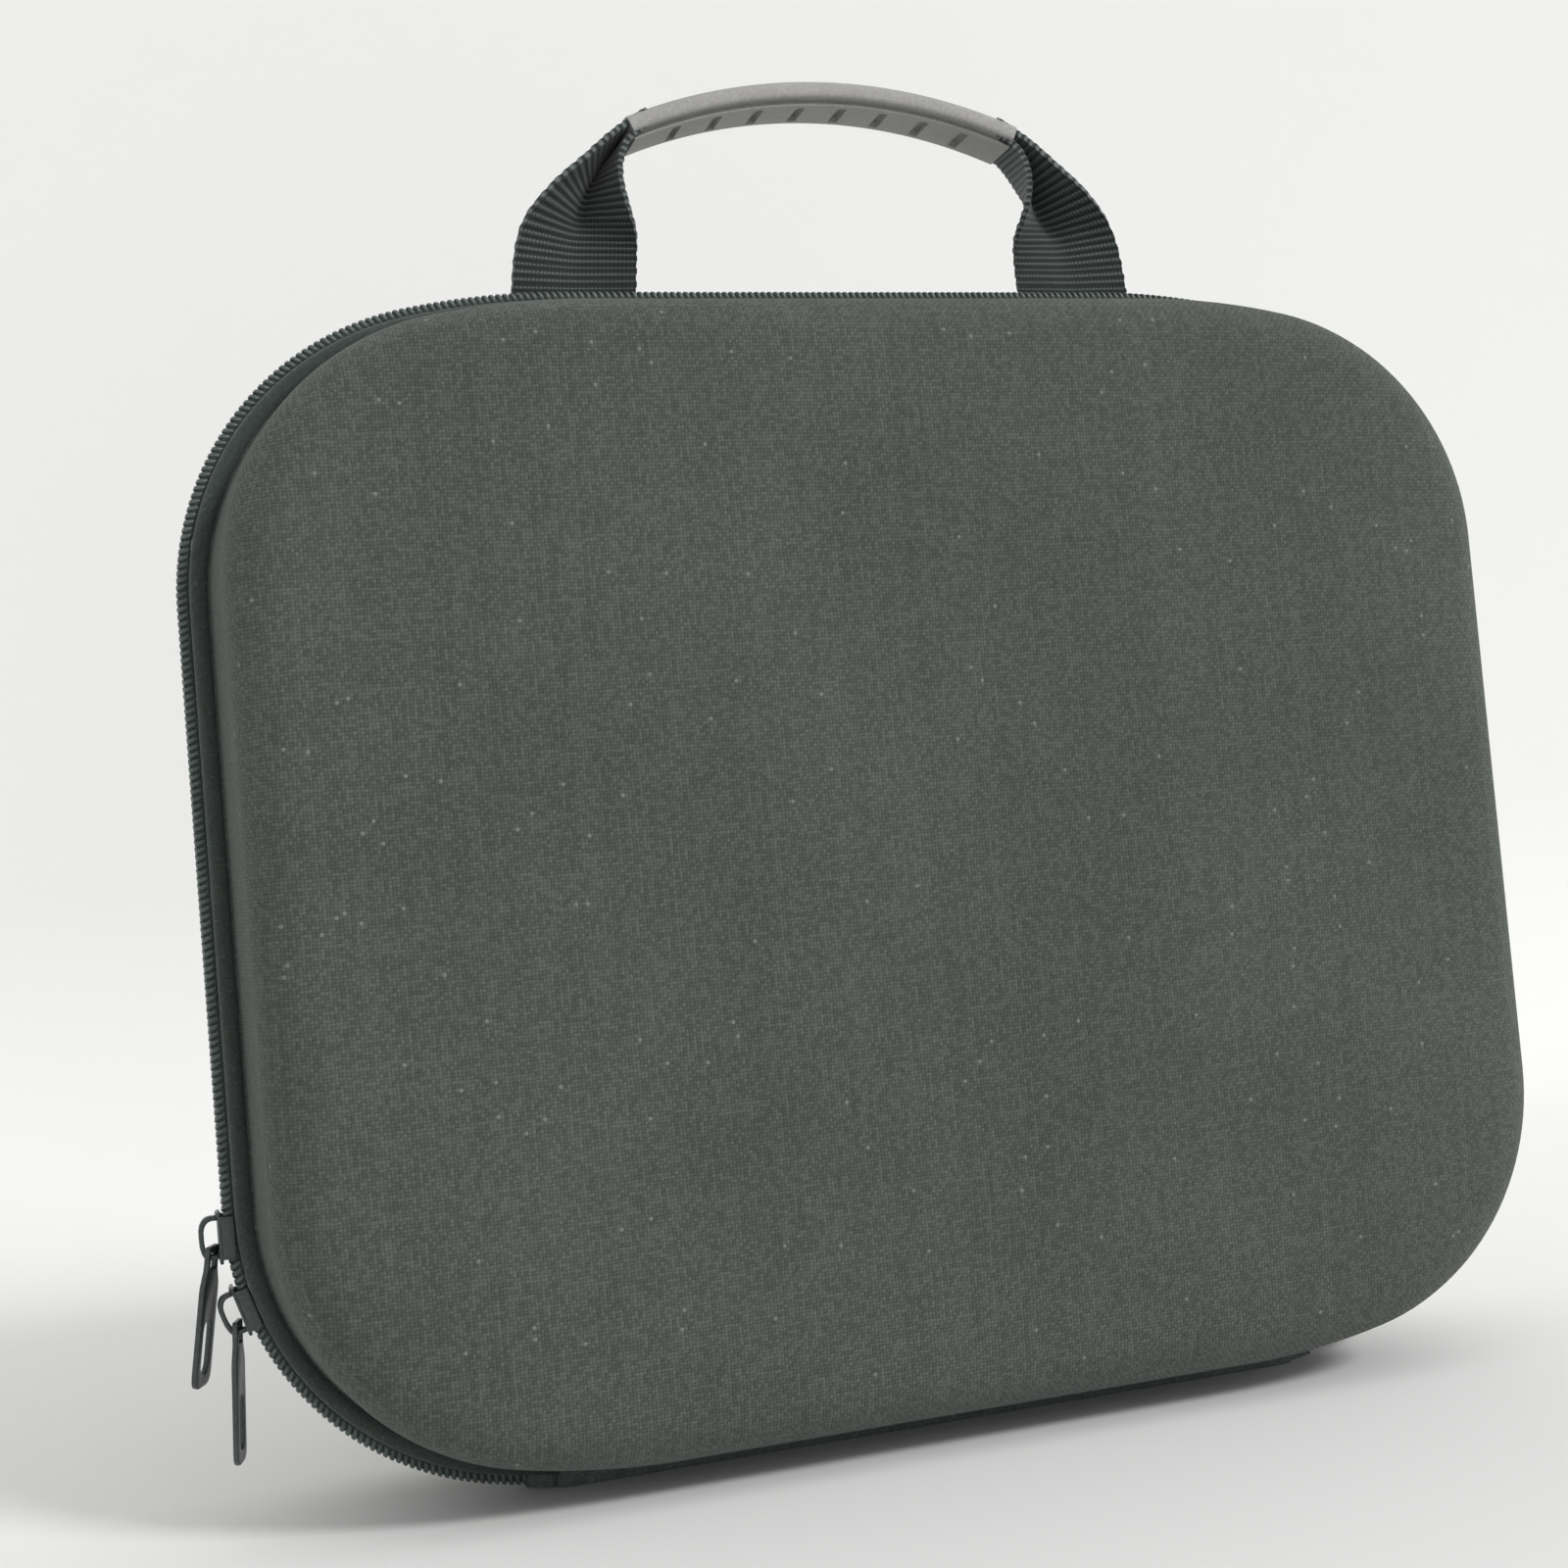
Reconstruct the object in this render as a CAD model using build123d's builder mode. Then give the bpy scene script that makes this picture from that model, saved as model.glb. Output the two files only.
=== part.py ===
from build123d import *
from math import asin, atan, cos, degrees, radians, sin
import os

# Zipped hard case for table tennis paddles. X is the width, -Y the front, +Z up.
# The case stands on its hinge edge. The two halves meet at y = 0, and the origin
# is the middle of the hinge strip's underside. All lengths are millimetres.

# Overall size, over the zip
case_width = 300.0
case_height = 255.5
case_depth = 70.0

# Plan outline: straight sides, a tight arc at each corner, a wide arc before the top and bottom
corner_radius = 63.5
shoulder_radius = 170.0
shoulder_angle = 12.0

# Moulded halves, as distances in from the zip outline and layer thicknesses
groove_inset = 6.6
rim_depth = 5.0
cover_thickness = 0.5
foam_thickness = 3.0
lining_thickness = 0.5
draft = 2.5
face_round = 12.0
seam_gap = 0.15

# Rim: flange, its welt and the land where the halves meet
welt_inset = 2.5
welt_edge = 0.7
welt_thickness = 0.7
welt_groove = 0.6
welt_round = 0.6
flange_foam = 1.0
land_inset = 8.2

# Zip: two coil rows on two tapes that fold in between the flanges
coil_height = 2.4
coil_half_width = 3.0
coil_slot = 1.0
coil_round = 0.9
tape_thickness = 0.5
tape_setback = 0.1
tape_fold_inset = 7.6
zip_end_x = 88.0
zip_tab_width = 5.0
zip_tab_thickness = 0.4
zip_tab_gap = 0.3

# Fabric hinge along the bottom edge
hinge_inset = 1.2
hinge_end_x = 86.0

# Sliders, in heights above the floor at the left edge
upper_slider_z = 60.2
lower_slider_z = 45.2
slider_length = 10.4
slider_wide = 8.0
slider_narrow = 6.4
plate_thickness = 0.7
plate_round = 1.0
plate_overlap = 0.3
outer_clearance = 0.3
inner_clearance = 1.3
inner_plate_width = 4.0
neck_thickness = 0.6
neck_length = 5.0
guide_clearance = 0.3
guide_thickness = 0.6
guide_length = 5.2
guide_depth = 1.5
crown_length = 9.3
crown_height = 3.8
crown_width = 2.2
crown_wire = 1.0
crown_round = 0.9

# Pull tabs
tab_length = 28.5
tab_width = 8.4
tab_neck_width = 5.4
tab_thickness = 1.4
tab_bar = 1.3
tab_eye_length = 3.2
tab_eye_clearance = 0.4
tab_flare = 4.0
tab_round = 2.0
tab_neck_round = 0.5
tab_slot_length = 11.0
tab_slot_width = 3.2
tab_slot_end = 3.0
tab_bar_along = 2.2
tab_bar_out = 1.3
tab_twist = 8.0
upper_tab_lean = 9.5
lower_tab_lean = 3.0

# Handle: one length of webbing with a rubber grip
webbing_width = 28.0
webbing_thickness = 1.3
webbing_clearance = 0.3
strap_spacing = 121.0
strap_spine = 0.1
strap_root_depth = 6.8
strap_rises = (0.0, 11.5, 20.0, 27.0)
strap_insets = (0.0, 0.9, 2.9, 5.6)
strap_leans = (0.0, 5.0, 15.0, 28.0)
strap_half_folds = (88.0, 80.0, 48.0, 20.0)
core_half_fold = 3.0
root_pocket_clearance = 0.3
pivot_height = 1.0
grip_rise = 48.4
grip_arc_radius = 124.0
grip_half_angle = 22.3
grip_cap_width = 15.0
grip_cap_height = 4.4
grip_cap_round = 1.2
grip_rib_width = 12.0
grip_rib_height = 0.9
grip_rib_round = 0.4
grip_wall = 1.1
grip_channel_clearance = 0.15
grip_slot_count = 8
grip_slot_pitch = 4.85
grip_slot_width = 2.2
grip_slot_length = 8.4
grip_slot_depth = 0.9
core_width = 11.6
core_height = 2.6
core_end_angle = 1.4

# Foam insert with paddle recess and ball pockets
insert_clearance = 0.3
insert_front = 3.2
recess_floor = 27.0
blade_radius = 80.0
blade_x = -52.0
handle_channel_width = 38.0
handle_channel_end = 130.0
ball_pocket_radius = 21.5
ball_pocket_xs = (62.0, 110.0)
ball_pocket_rise = 53.0
ball_pocket_floor = 26.0
finger_notch_radius = 15.0
recess_round = 3.0

# Elastic band over the paddle handles
band_width = 25.0
band_thickness = 1.3
band_x = 85.0
band_overlap = 14.0
patch_thickness = 0.5

# Net pocket in the lid
net_depth = 15.0
net_thickness = 0.6
net_top = 150.0
binding_height = 8.0
binding_thickness = 0.6

# Places worked out from the sizes above
half_width = case_width / 2
half_height = case_height / 2
half_depth = case_depth / 2
centre_z = half_height - hinge_inset
top_z = centre_z + half_height
bend = radians(shoulder_angle)
corner_x = half_width - corner_radius
corner_rise = half_height - shoulder_radius + (shoulder_radius - corner_radius) * cos(bend)
shoulder_x = corner_x - (shoulder_radius - corner_radius) * sin(bend)
draft_angle = degrees(atan(draft / (half_depth - rim_depth)))
tape_inset = coil_height
tape_back = coil_half_width - tape_setback
tape_front = tape_back - tape_thickness
foam_edge_inset = welt_inset + welt_edge
flange_front = tape_back + flange_foam
welt_back = rim_depth - welt_thickness
shell_inset = cover_thickness
cavity_inset = cover_thickness + foam_thickness
inside_inset = cavity_inset + lining_thickness
slot_half = coil_slot / 2
edge_reach = 25.0
tape_under = tape_inset + tape_thickness
corner_z = centre_z - corner_rise
plate_top = outer_clearance + plate_thickness
webbing_half = webbing_thickness / 2
page_width = (webbing_width - webbing_thickness) / 2
handle_y = (coil_half_width + welt_back) / 2
pivot_z = top_z + pivot_height
grip_centre_z = top_z + grip_rise - grip_arc_radius
grip_lip_radius = grip_arc_radius - grip_cap_height
grip_under_radius = grip_lip_radius - grip_rib_height
core_radius = grip_arc_radius - grip_wall - grip_channel_clearance - core_height / 2


def outline_face(inset, depth):
    """Face of the plan outline, inset from the zip outline and depth in front of the seam."""
    side = half_width - inset
    end = half_height - inset
    tight = corner_radius - inset
    wide = shoulder_radius - inset
    turn = 90 - shoulder_angle
    with BuildSketch(Plane.XZ.offset(depth)) as face:
        with BuildLine():
            for sx, sz, start in ((1, 1, 0), (-1, 1, 90), (-1, -1, 180), (1, -1, 270)):
                corner = (sx * corner_x, centre_z + sz * corner_rise)
                shoulder = (sx * shoulder_x, centre_z + sz * (half_height - shoulder_radius))
                if sx == sz:
                    CenterArc(corner, tight, start, turn)
                    CenterArc(shoulder, wide, start + turn, shoulder_angle)
                else:
                    CenterArc(shoulder, wide, start, shoulder_angle)
                    CenterArc(corner, tight, start + shoulder_angle, turn)
            for sx in (1, -1):
                Line((sx * side, centre_z - corner_rise), (sx * side, centre_z + corner_rise))
            for sz in (1, -1):
                Line((-shoulder_x, centre_z + sz * end), (shoulder_x, centre_z + sz * end))
        make_face()
    return face.sketch


def rim_ring(outer, inner, near, far):
    """Ring round the front half between two insets, from near to far in front of the seam."""
    outer_face = outline_face(outer, near)
    inner_face = outline_face(inner, near)
    with BuildPart() as ring:
        extrude(outer_face, amount=far - near)
        extrude(inner_face, amount=far - near, mode=Mode.SUBTRACT)
    return ring.part


def dome_block(skin, foot):
    """Solid front dome that lies skin within the outer face, from foot in front of the seam."""
    foot_face = outline_face(groove_inset + skin, foot)
    dome_face = outline_face(groove_inset + skin, rim_depth)
    with BuildPart() as block:
        extrude(dome_face, amount=half_depth - rim_depth - skin, taper=draft_angle)
        fillet(block.faces().sort_by(Axis.Y)[0].edges(), radius=face_round - skin)
        extrude(foot_face, amount=rim_depth - foot)
    return block.part


def floor_box(reach, low, high):
    """Block round the bottom edge, from low to high along X, that cuts rim pieces to length."""
    with BuildPart() as block:
        with Locations(((low + high) / 2, 0, 0)):
            Box(high - low, case_depth, 2 * reach)
    return block.part


os.makedirs("parts", exist_ok=True)

# Shared blocks for the shells
outer_dome = dome_block(0, flange_front)
foam_dome = dome_block(shell_inset, tape_back)
cavity_dome = dome_block(cavity_inset, seam_gap)
cavity_through = dome_block(cavity_inset, 0)
inside_dome = dome_block(inside_inset, 0)
cover_through = dome_block(shell_inset, 0)
rear_insert_block = dome_block(inside_inset + insert_clearance, insert_front)
hinge_block = floor_box(edge_reach, -hinge_end_x, hinge_end_x)
zip_gap_block = floor_box(edge_reach, -zip_end_x, zip_end_x)
tab_blocks = [
    floor_box(edge_reach, zip_end_x, zip_end_x + zip_tab_width),
    floor_box(edge_reach, -zip_end_x - zip_tab_width, -zip_end_x),
]

# Pockets in the rear rim that take the sewn ends of the handle webbing
pocket_height = strap_root_depth + root_pocket_clearance
strap_xs = (-strap_spacing / 2, strap_spacing / 2)
with BuildPart() as root_pockets:
    with Locations([(x, (tape_back + welt_back) / 2, top_z - pocket_height / 2) for x in strap_xs]):
        Box(webbing_width + 2 * webbing_clearance, welt_back - tape_back, pocket_height)

# Moulded foam shells
flange_ring = rim_ring(foam_edge_inset, groove_inset + cavity_inset, tape_back, flange_front)
land_ring = rim_ring(land_inset, groove_inset + cavity_inset, seam_gap, tape_back)
with BuildPart() as front_shell:
    add(foam_dome)
    add(flange_ring)
    add(land_ring)
    add(cavity_through, mode=Mode.SUBTRACT)
with BuildPart() as rear_shell:
    mirror(front_shell.part, about=Plane.XZ)
    add(root_pockets.part, mode=Mode.SUBTRACT)

# Woven covers, laminated over the domes and turned out over the flanges
cover_foot = rim_ring(foam_edge_inset, groove_inset + shell_inset, flange_front, welt_back)
with BuildPart() as front_cover:
    add(outer_dome)
    add(cover_foot)
    add(cover_through, mode=Mode.SUBTRACT)
with BuildPart() as rear_cover:
    mirror(front_cover.part, about=Plane.XZ)
    add(root_pockets.part, mode=Mode.SUBTRACT)

# Smooth welts that bind the edges of the flanges
welt_side = rim_ring(welt_inset, foam_edge_inset, tape_back, rim_depth)
welt_face = rim_ring(foam_edge_inset, groove_inset - welt_groove, welt_back, rim_depth)
with BuildPart() as front_welt:
    add(welt_side)
    add(welt_face)
    fillet(front_welt.faces().sort_by(Axis.Y)[0].edges(), radius=welt_round)
with BuildPart() as rear_welt:
    mirror(front_welt.part, about=Plane.XZ)
    add(root_pockets.part, mode=Mode.SUBTRACT)

# Linings
with BuildPart() as front_lining:
    add(cavity_dome)
    add(inside_dome, mode=Mode.SUBTRACT)
with BuildPart() as rear_lining:
    mirror(front_lining.part, about=Plane.XZ)

# Zip tapes: each lies under its coil row and folds in along the flange
tape_web = rim_ring(tape_inset, tape_inset + tape_thickness, slot_half, tape_back)
tape_fold = rim_ring(tape_inset + tape_thickness, tape_fold_inset, tape_front, tape_back)
with BuildPart() as zip_tape_front:
    add(tape_web)
    add(tape_fold)
    add(zip_gap_block, mode=Mode.SUBTRACT)
with BuildPart() as zip_tape_rear:
    mirror(zip_tape_front.part, about=Plane.XZ)

# Coil rows
coil_ring = rim_ring(0, coil_height, slot_half, coil_half_width)
with BuildPart() as zip_coil_front:
    add(coil_ring)
    coil_shoulder = zip_coil_front.faces().sort_by(Axis.Y)[0].outer_wire().edges()
    fillet(coil_shoulder, radius=coil_round)
    add(zip_gap_block, mode=Mode.SUBTRACT)
with BuildPart() as zip_coil_rear:
    mirror(zip_coil_front.part, about=Plane.XZ)

# Fabric tabs sewn over the four ends of the coil rows
tab_over = rim_ring(-zip_tab_thickness, 0, slot_half, coil_half_width + zip_tab_gap)
tab_side = rim_ring(0, coil_height, coil_half_width, coil_half_width + zip_tab_gap)
with BuildPart() as zip_end_tabs_front:
    add(tab_over)
    add(tab_side)
    add(tab_blocks, mode=Mode.INTERSECT)
with BuildPart() as zip_end_tabs_rear:
    mirror(zip_end_tabs_front.part, about=Plane.XZ)

# Hinge: a folded strip under both rims, in two halves that meet at the fold
hinge_web = rim_ring(hinge_inset, welt_inset, 0, rim_depth)
hinge_return = rim_ring(welt_inset, tape_fold_inset, tape_front, tape_back)
with BuildPart() as hinge_tape_front:
    add(hinge_web)
    add(hinge_return)
    add(hinge_block, mode=Mode.INTERSECT)
with BuildPart() as hinge_tape_rear:
    mirror(hinge_tape_front.part, about=Plane.XZ)


def crown_points(inset):
    """Corners of the crown's side view, inset by the thickness of its wire."""
    reach = crown_length / 2 - inset
    rise = crown_height - inset
    foot = plate_top - plate_overlap if inset == 0 else plate_top
    return [
        (-reach, foot),
        (-reach, plate_top + 0.58 * rise),
        (-0.73 * reach, plate_top + 0.87 * rise),
        (-0.28 * reach, plate_top + rise),
        (0.47 * reach, plate_top + rise),
        (0.86 * reach, plate_top + 0.78 * rise),
        (reach, plate_top + 0.45 * rise),
        (reach, foot),
    ]


def slider_body(place, nose):
    """Slider on a plane that touches the coil, x up the zip. Its wide end points to nose."""
    end = nose * slider_length / 2
    inner_face = tape_under + inner_clearance
    guide_y = coil_half_width + guide_clearance + guide_thickness / 2
    crown_plane = Plane(place.origin, x_dir=place.x_dir, z_dir=place.x_dir.cross(place.z_dir))
    with BuildPart() as slider:
        with BuildSketch(place.offset(outer_clearance)) as plate:
            Polygon(
                (-end, -slider_narrow / 2),
                (-end / 2, -slider_wide / 2),
                (end, -slider_wide / 2),
                (end, slider_wide / 2),
                (-end / 2, slider_wide / 2),
                (-end, slider_narrow / 2),
                align=None,
            )
            fillet(plate.vertices(), plate_round)
        extrude(amount=plate_thickness)
        with BuildSketch(place.offset(-inner_face)):
            Rectangle(neck_length, neck_thickness)
        extrude(amount=inner_face + outer_clearance + plate_overlap)
        with BuildSketch(place.offset(-inner_face - plate_thickness)):
            RectangleRounded(slider_length - 2 * plate_round, inner_plate_width, plate_round)
        extrude(amount=plate_thickness)
        with BuildSketch(place.offset(-guide_depth)):
            with Locations((0, guide_y)):
                Rectangle(guide_length, guide_thickness)
        extrude(amount=guide_depth + outer_clearance + plate_overlap)
        with BuildSketch(crown_plane) as crown:
            Polygon(*crown_points(0), align=None)
            fillet(crown.vertices().sort_by(Axis.X)[2:], crown_round)
        extrude(amount=crown_width / 2, both=True)
        with BuildSketch(crown_plane):
            Polygon(*crown_points(crown_wire), align=None)
        extrude(amount=crown_width, both=True, mode=Mode.SUBTRACT)
    return slider.part


def pull_tab(bar, lean):
    """Flat pull tab that hangs from bar, with its lower end lean degrees away from the case."""
    level = Vector(-cos(radians(tab_twist)), sin(radians(tab_twist)), 0)
    across = Vector(sin(radians(tab_twist)), cos(radians(tab_twist)), 0)
    out = level * cos(radians(lean)) + Vector(0, 0, sin(radians(lean)))
    neck_end = tab_bar / 2 + tab_eye_length
    foot = tab_length - tab_bar / 2
    with BuildPart() as tab:
        with BuildSketch(Plane(bar, x_dir=across, z_dir=out)) as blade:
            Polygon(
                (-tab_neck_width / 2, -tab_bar / 2),
                (-tab_neck_width / 2, neck_end),
                (-tab_width / 2, neck_end + tab_flare),
                (-tab_width / 2, foot),
                (tab_width / 2, foot),
                (tab_width / 2, neck_end + tab_flare),
                (tab_neck_width / 2, neck_end),
                (tab_neck_width / 2, -tab_bar / 2),
                align=None,
            )
            fillet(blade.vertices(), tab_neck_round)
            with Locations((0, (tab_bar / 2 + neck_end) / 2)):
                Rectangle(crown_width + 2 * tab_eye_clearance, tab_eye_length, mode=Mode.SUBTRACT)
            with Locations((0, foot - tab_slot_end - tab_slot_length / 2)):
                SlotOverall(tab_slot_length, tab_slot_width, rotation=90, mode=Mode.SUBTRACT)
        extrude(amount=tab_thickness / 2, both=True)
    return tab.part


# Sliders: the upper one on the straight left side, the lower one on the corner arc
lower_turn = asin((corner_z - lower_slider_z) / corner_radius)
upper_place = Plane((-half_width, 0, upper_slider_z), x_dir=(0, 0, 1), z_dir=(-1, 0, 0))
lower_out = Vector(-cos(lower_turn), 0, -sin(lower_turn))
lower_up = Vector(-sin(lower_turn), 0, cos(lower_turn))
corner_centre = Vector(-corner_x, 0, corner_z)
lower_place = Plane(corner_centre + lower_out * corner_radius, x_dir=lower_up, z_dir=lower_out)
slider_upper = slider_body(upper_place, -1)
slider_lower = slider_body(lower_place, 1)

# Pull tabs, each hooked through the lower end of its slider's crown
bar_out = plate_top + tab_bar_out
upper_bar = upper_place.from_local_coords(Vector(-tab_bar_along, 0, bar_out))
lower_bar = lower_place.from_local_coords(Vector(-tab_bar_along, 0, bar_out))
pull_tab_upper = pull_tab(upper_bar, upper_tab_lean)
pull_tab_lower = pull_tab(lower_bar, lower_tab_lean)

# Sewn ends of the webbing, held in the rear rim
root_top = pivot_z - webbing_half - webbing_clearance
root_bottom = top_z - strap_root_depth
strap_roots = []
for x in strap_xs:
    with BuildPart() as strap_root:
        with Locations((x, handle_y, (root_top + root_bottom) / 2)):
            Box(webbing_width, webbing_thickness, root_top - root_bottom)
    strap_roots.append(strap_root.part)


def folded_section(place, half_fold):
    """Cross-section of the webbing on a plane, its two pages half_fold degrees off the fold's axis."""
    s = sin(radians(half_fold))
    c = cos(radians(half_fold))
    fold_y = page_width * c / 2
    tip_x = strap_spine + page_width * s
    tip_y = fold_y - page_width * c
    inner_y = fold_y - webbing_half * s - (webbing_half * c - strap_spine) / s * c
    with BuildSketch(place) as section:
        Polygon(
            (-tip_x - webbing_half * c, tip_y + webbing_half * s),
            (-strap_spine - webbing_half * c, fold_y + webbing_half * s),
            (strap_spine + webbing_half * c, fold_y + webbing_half * s),
            (tip_x + webbing_half * c, tip_y + webbing_half * s),
            (tip_x - webbing_half * c, tip_y - webbing_half * s),
            (0, inner_y),
            (-tip_x + webbing_half * c, tip_y - webbing_half * s),
            align=None,
        )
    return section.sketch


def strap_plane(x, z, lean):
    """Plane square to the left strap where it passes x and z, leaning in by lean degrees."""
    along = (sin(radians(lean)), 0, cos(radians(lean)))
    across = (cos(radians(lean)), 0, -sin(radians(lean)))
    return Plane((x, handle_y, z), x_dir=across, z_dir=along)


# The webbing folds lengthwise as it rises from the rim into the grip
core_end = radians(grip_half_angle + core_end_angle)
core_end_x = core_radius * sin(core_end)
core_end_z = grip_centre_z + core_radius * cos(core_end)
strap_faces = [
    folded_section(strap_plane(-strap_spacing / 2 + inward, pivot_z + rise, lean), fold)
    for inward, rise, lean, fold in zip(strap_insets, strap_rises, strap_leans, strap_half_folds)
]
core_plane = strap_plane(-core_end_x, core_end_z, 90 - degrees(core_end))
strap_faces.append(folded_section(core_plane, core_half_fold))


def arch_plane(angle):
    """Plane square to the grip's arch at an angle from its top, with y along the radius."""
    along = (cos(radians(angle)), 0, -sin(radians(angle)))
    return Plane((0, handle_y, grip_centre_z), x_dir=(0, 1, 0), z_dir=along)


arch_axis = Axis((0, handle_y, grip_centre_z), (0, 1, 0))
with BuildPart() as handle_webbing:
    loft(strap_faces, ruled=True)
    with Locations(Plane((-strap_spacing / 2, handle_y, pivot_z), x_dir=(0, 1, 0), z_dir=(1, 0, 0))):
        Cylinder(webbing_half, webbing_width)
    mirror(about=Plane.YZ)
    with BuildSketch(arch_plane(-grip_half_angle - core_end_angle)):
        with Locations((0, core_radius)):
            Rectangle(core_width, core_height)
    revolve(axis=arch_axis, revolution_arc=2 * (grip_half_angle + core_end_angle))

# Rubber grip, moulded round the folded webbing, with slots in its underside
with BuildPart() as grip_slots:
    first_slot = -grip_slot_pitch * (grip_slot_count - 1) / 2
    for step in range(grip_slot_count):
        angle = first_slot + step * grip_slot_pitch
        slot_x = grip_under_radius * sin(radians(angle))
        slot_z = grip_centre_z + grip_under_radius * cos(radians(angle))
        with Locations(Location((slot_x, handle_y, slot_z), (0, angle, 0))):
            Box(grip_slot_width, grip_slot_length, 2 * grip_slot_depth)
with BuildPart() as handle_grip:
    with BuildSketch(arch_plane(-grip_half_angle)) as cap:
        with Locations((0, grip_arc_radius - grip_cap_height / 2)):
            RectangleRounded(grip_cap_width, grip_cap_height, grip_cap_round)
    revolve(axis=arch_axis, revolution_arc=2 * grip_half_angle)
    with BuildSketch(arch_plane(-grip_half_angle)):
        with Locations((0, grip_lip_radius - grip_rib_height / 2 + grip_rib_round)):
            RectangleRounded(grip_rib_width, grip_rib_height + 2 * grip_rib_round, grip_rib_round)
    revolve(axis=arch_axis, revolution_arc=2 * grip_half_angle)
    add(grip_slots.part, mode=Mode.SUBTRACT)
    with BuildSketch(arch_plane(-grip_half_angle)):
        with Locations((0, core_radius)):
            Rectangle(core_width + 2 * grip_channel_clearance, core_height + 2 * grip_channel_clearance)
    revolve(axis=arch_axis, revolution_arc=2 * grip_half_angle, mode=Mode.SUBTRACT)

# Foam insert: cut on the front side of the seam, then mirrored into the rear half
pocket_zs = (centre_z - ball_pocket_rise, centre_z + ball_pocket_rise)
with BuildPart() as front_insert:
    add(rear_insert_block)
    with BuildSketch(Plane.XZ.offset(insert_front)) as recess:
        with Locations((blade_x, centre_z)):
            Circle(blade_radius)
        with Locations(((blade_x + handle_channel_end) / 2, centre_z)):
            Rectangle(handle_channel_end - blade_x, handle_channel_width)
        with Locations((blade_x, centre_z + blade_radius), (blade_x, centre_z - blade_radius)):
            Circle(finger_notch_radius)
        fillet(recess.vertices(), recess_round)
    extrude(amount=recess_floor - insert_front, mode=Mode.SUBTRACT)
    with BuildSketch(Plane.XZ.offset(insert_front)):
        with Locations([(x, z) for x in ball_pocket_xs for z in pocket_zs]):
            Circle(ball_pocket_radius)
    extrude(amount=ball_pocket_floor - insert_front, mode=Mode.SUBTRACT)
with BuildPart() as foam_insert:
    mirror(front_insert.part, about=Plane.XZ)

# Elastic band over the paddle handle, with a stitched patch over each end
band_half = handle_channel_width / 2 + band_overlap
patch_y = insert_front - band_thickness - patch_thickness / 2
with BuildPart() as elastic_band:
    with Locations((band_x, insert_front - band_thickness / 2, centre_z)):
        Box(band_width, band_thickness, 2 * band_half)
with BuildPart() as band_patches:
    patch_rise = band_half - band_overlap / 2
    with Locations((band_x, patch_y, centre_z - patch_rise), (band_x, patch_y, centre_z + patch_rise)):
        Box(band_width, patch_thickness, band_overlap)

# Net pocket across the lid, with an elastic binding along its top edge
with BuildPart() as net_pocket:
    with Locations((0, -net_depth - net_thickness / 2, net_top / 2)):
        Box(case_width, net_thickness, net_top)
    add(inside_dome, mode=Mode.INTERSECT)
with BuildPart() as net_binding:
    with Locations((0, -net_depth - net_thickness / 2, net_top)):
        Box(case_width, net_thickness + 2 * binding_thickness, binding_height)
    add(inside_dome, mode=Mode.INTERSECT)
    add(net_pocket.part, mode=Mode.SUBTRACT)

pieces = {
    "rear_shell": rear_shell.part,
    "rear_cover": rear_cover.part,
    "rear_welt": rear_welt.part,
    "rear_lining": rear_lining.part,
    "zip_tape_rear": zip_tape_rear.part,
    "zip_coil_rear": zip_coil_rear.part,
    "zip_end_tabs_rear": zip_end_tabs_rear.part,
    "hinge_tape_rear": hinge_tape_rear.part,
    "strap_root_left": strap_roots[0],
    "strap_root_right": strap_roots[1],
    "foam_insert": foam_insert.part,
    "elastic_band": elastic_band.part,
    "band_patches": band_patches.part,
    "front_shell": front_shell.part,
    "front_cover": front_cover.part,
    "front_welt": front_welt.part,
    "front_lining": front_lining.part,
    "zip_tape_front": zip_tape_front.part,
    "zip_coil_front": zip_coil_front.part,
    "zip_end_tabs_front": zip_end_tabs_front.part,
    "hinge_tape_front": hinge_tape_front.part,
    "net_pocket": net_pocket.part,
    "net_binding": net_binding.part,
    "slider_upper": slider_upper,
    "pull_tab_upper": pull_tab_upper,
    "slider_lower": slider_lower,
    "pull_tab_lower": pull_tab_lower,
    "handle_webbing": handle_webbing.part,
    "handle_grip": handle_grip.part,
}
for name, piece in pieces.items():
    piece.label = name
    export_step(piece, f"parts/{name}.step")
print("lower slider turns about", (-corner_x, 0, corner_z))
print("upper tab hangs from", tuple(upper_bar))
print("lower tab hangs from", tuple(lower_bar))
print("handle folds about", (0, handle_y, pivot_z))
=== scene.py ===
import math

import bpy
from mathutils import Matrix, Vector


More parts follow.
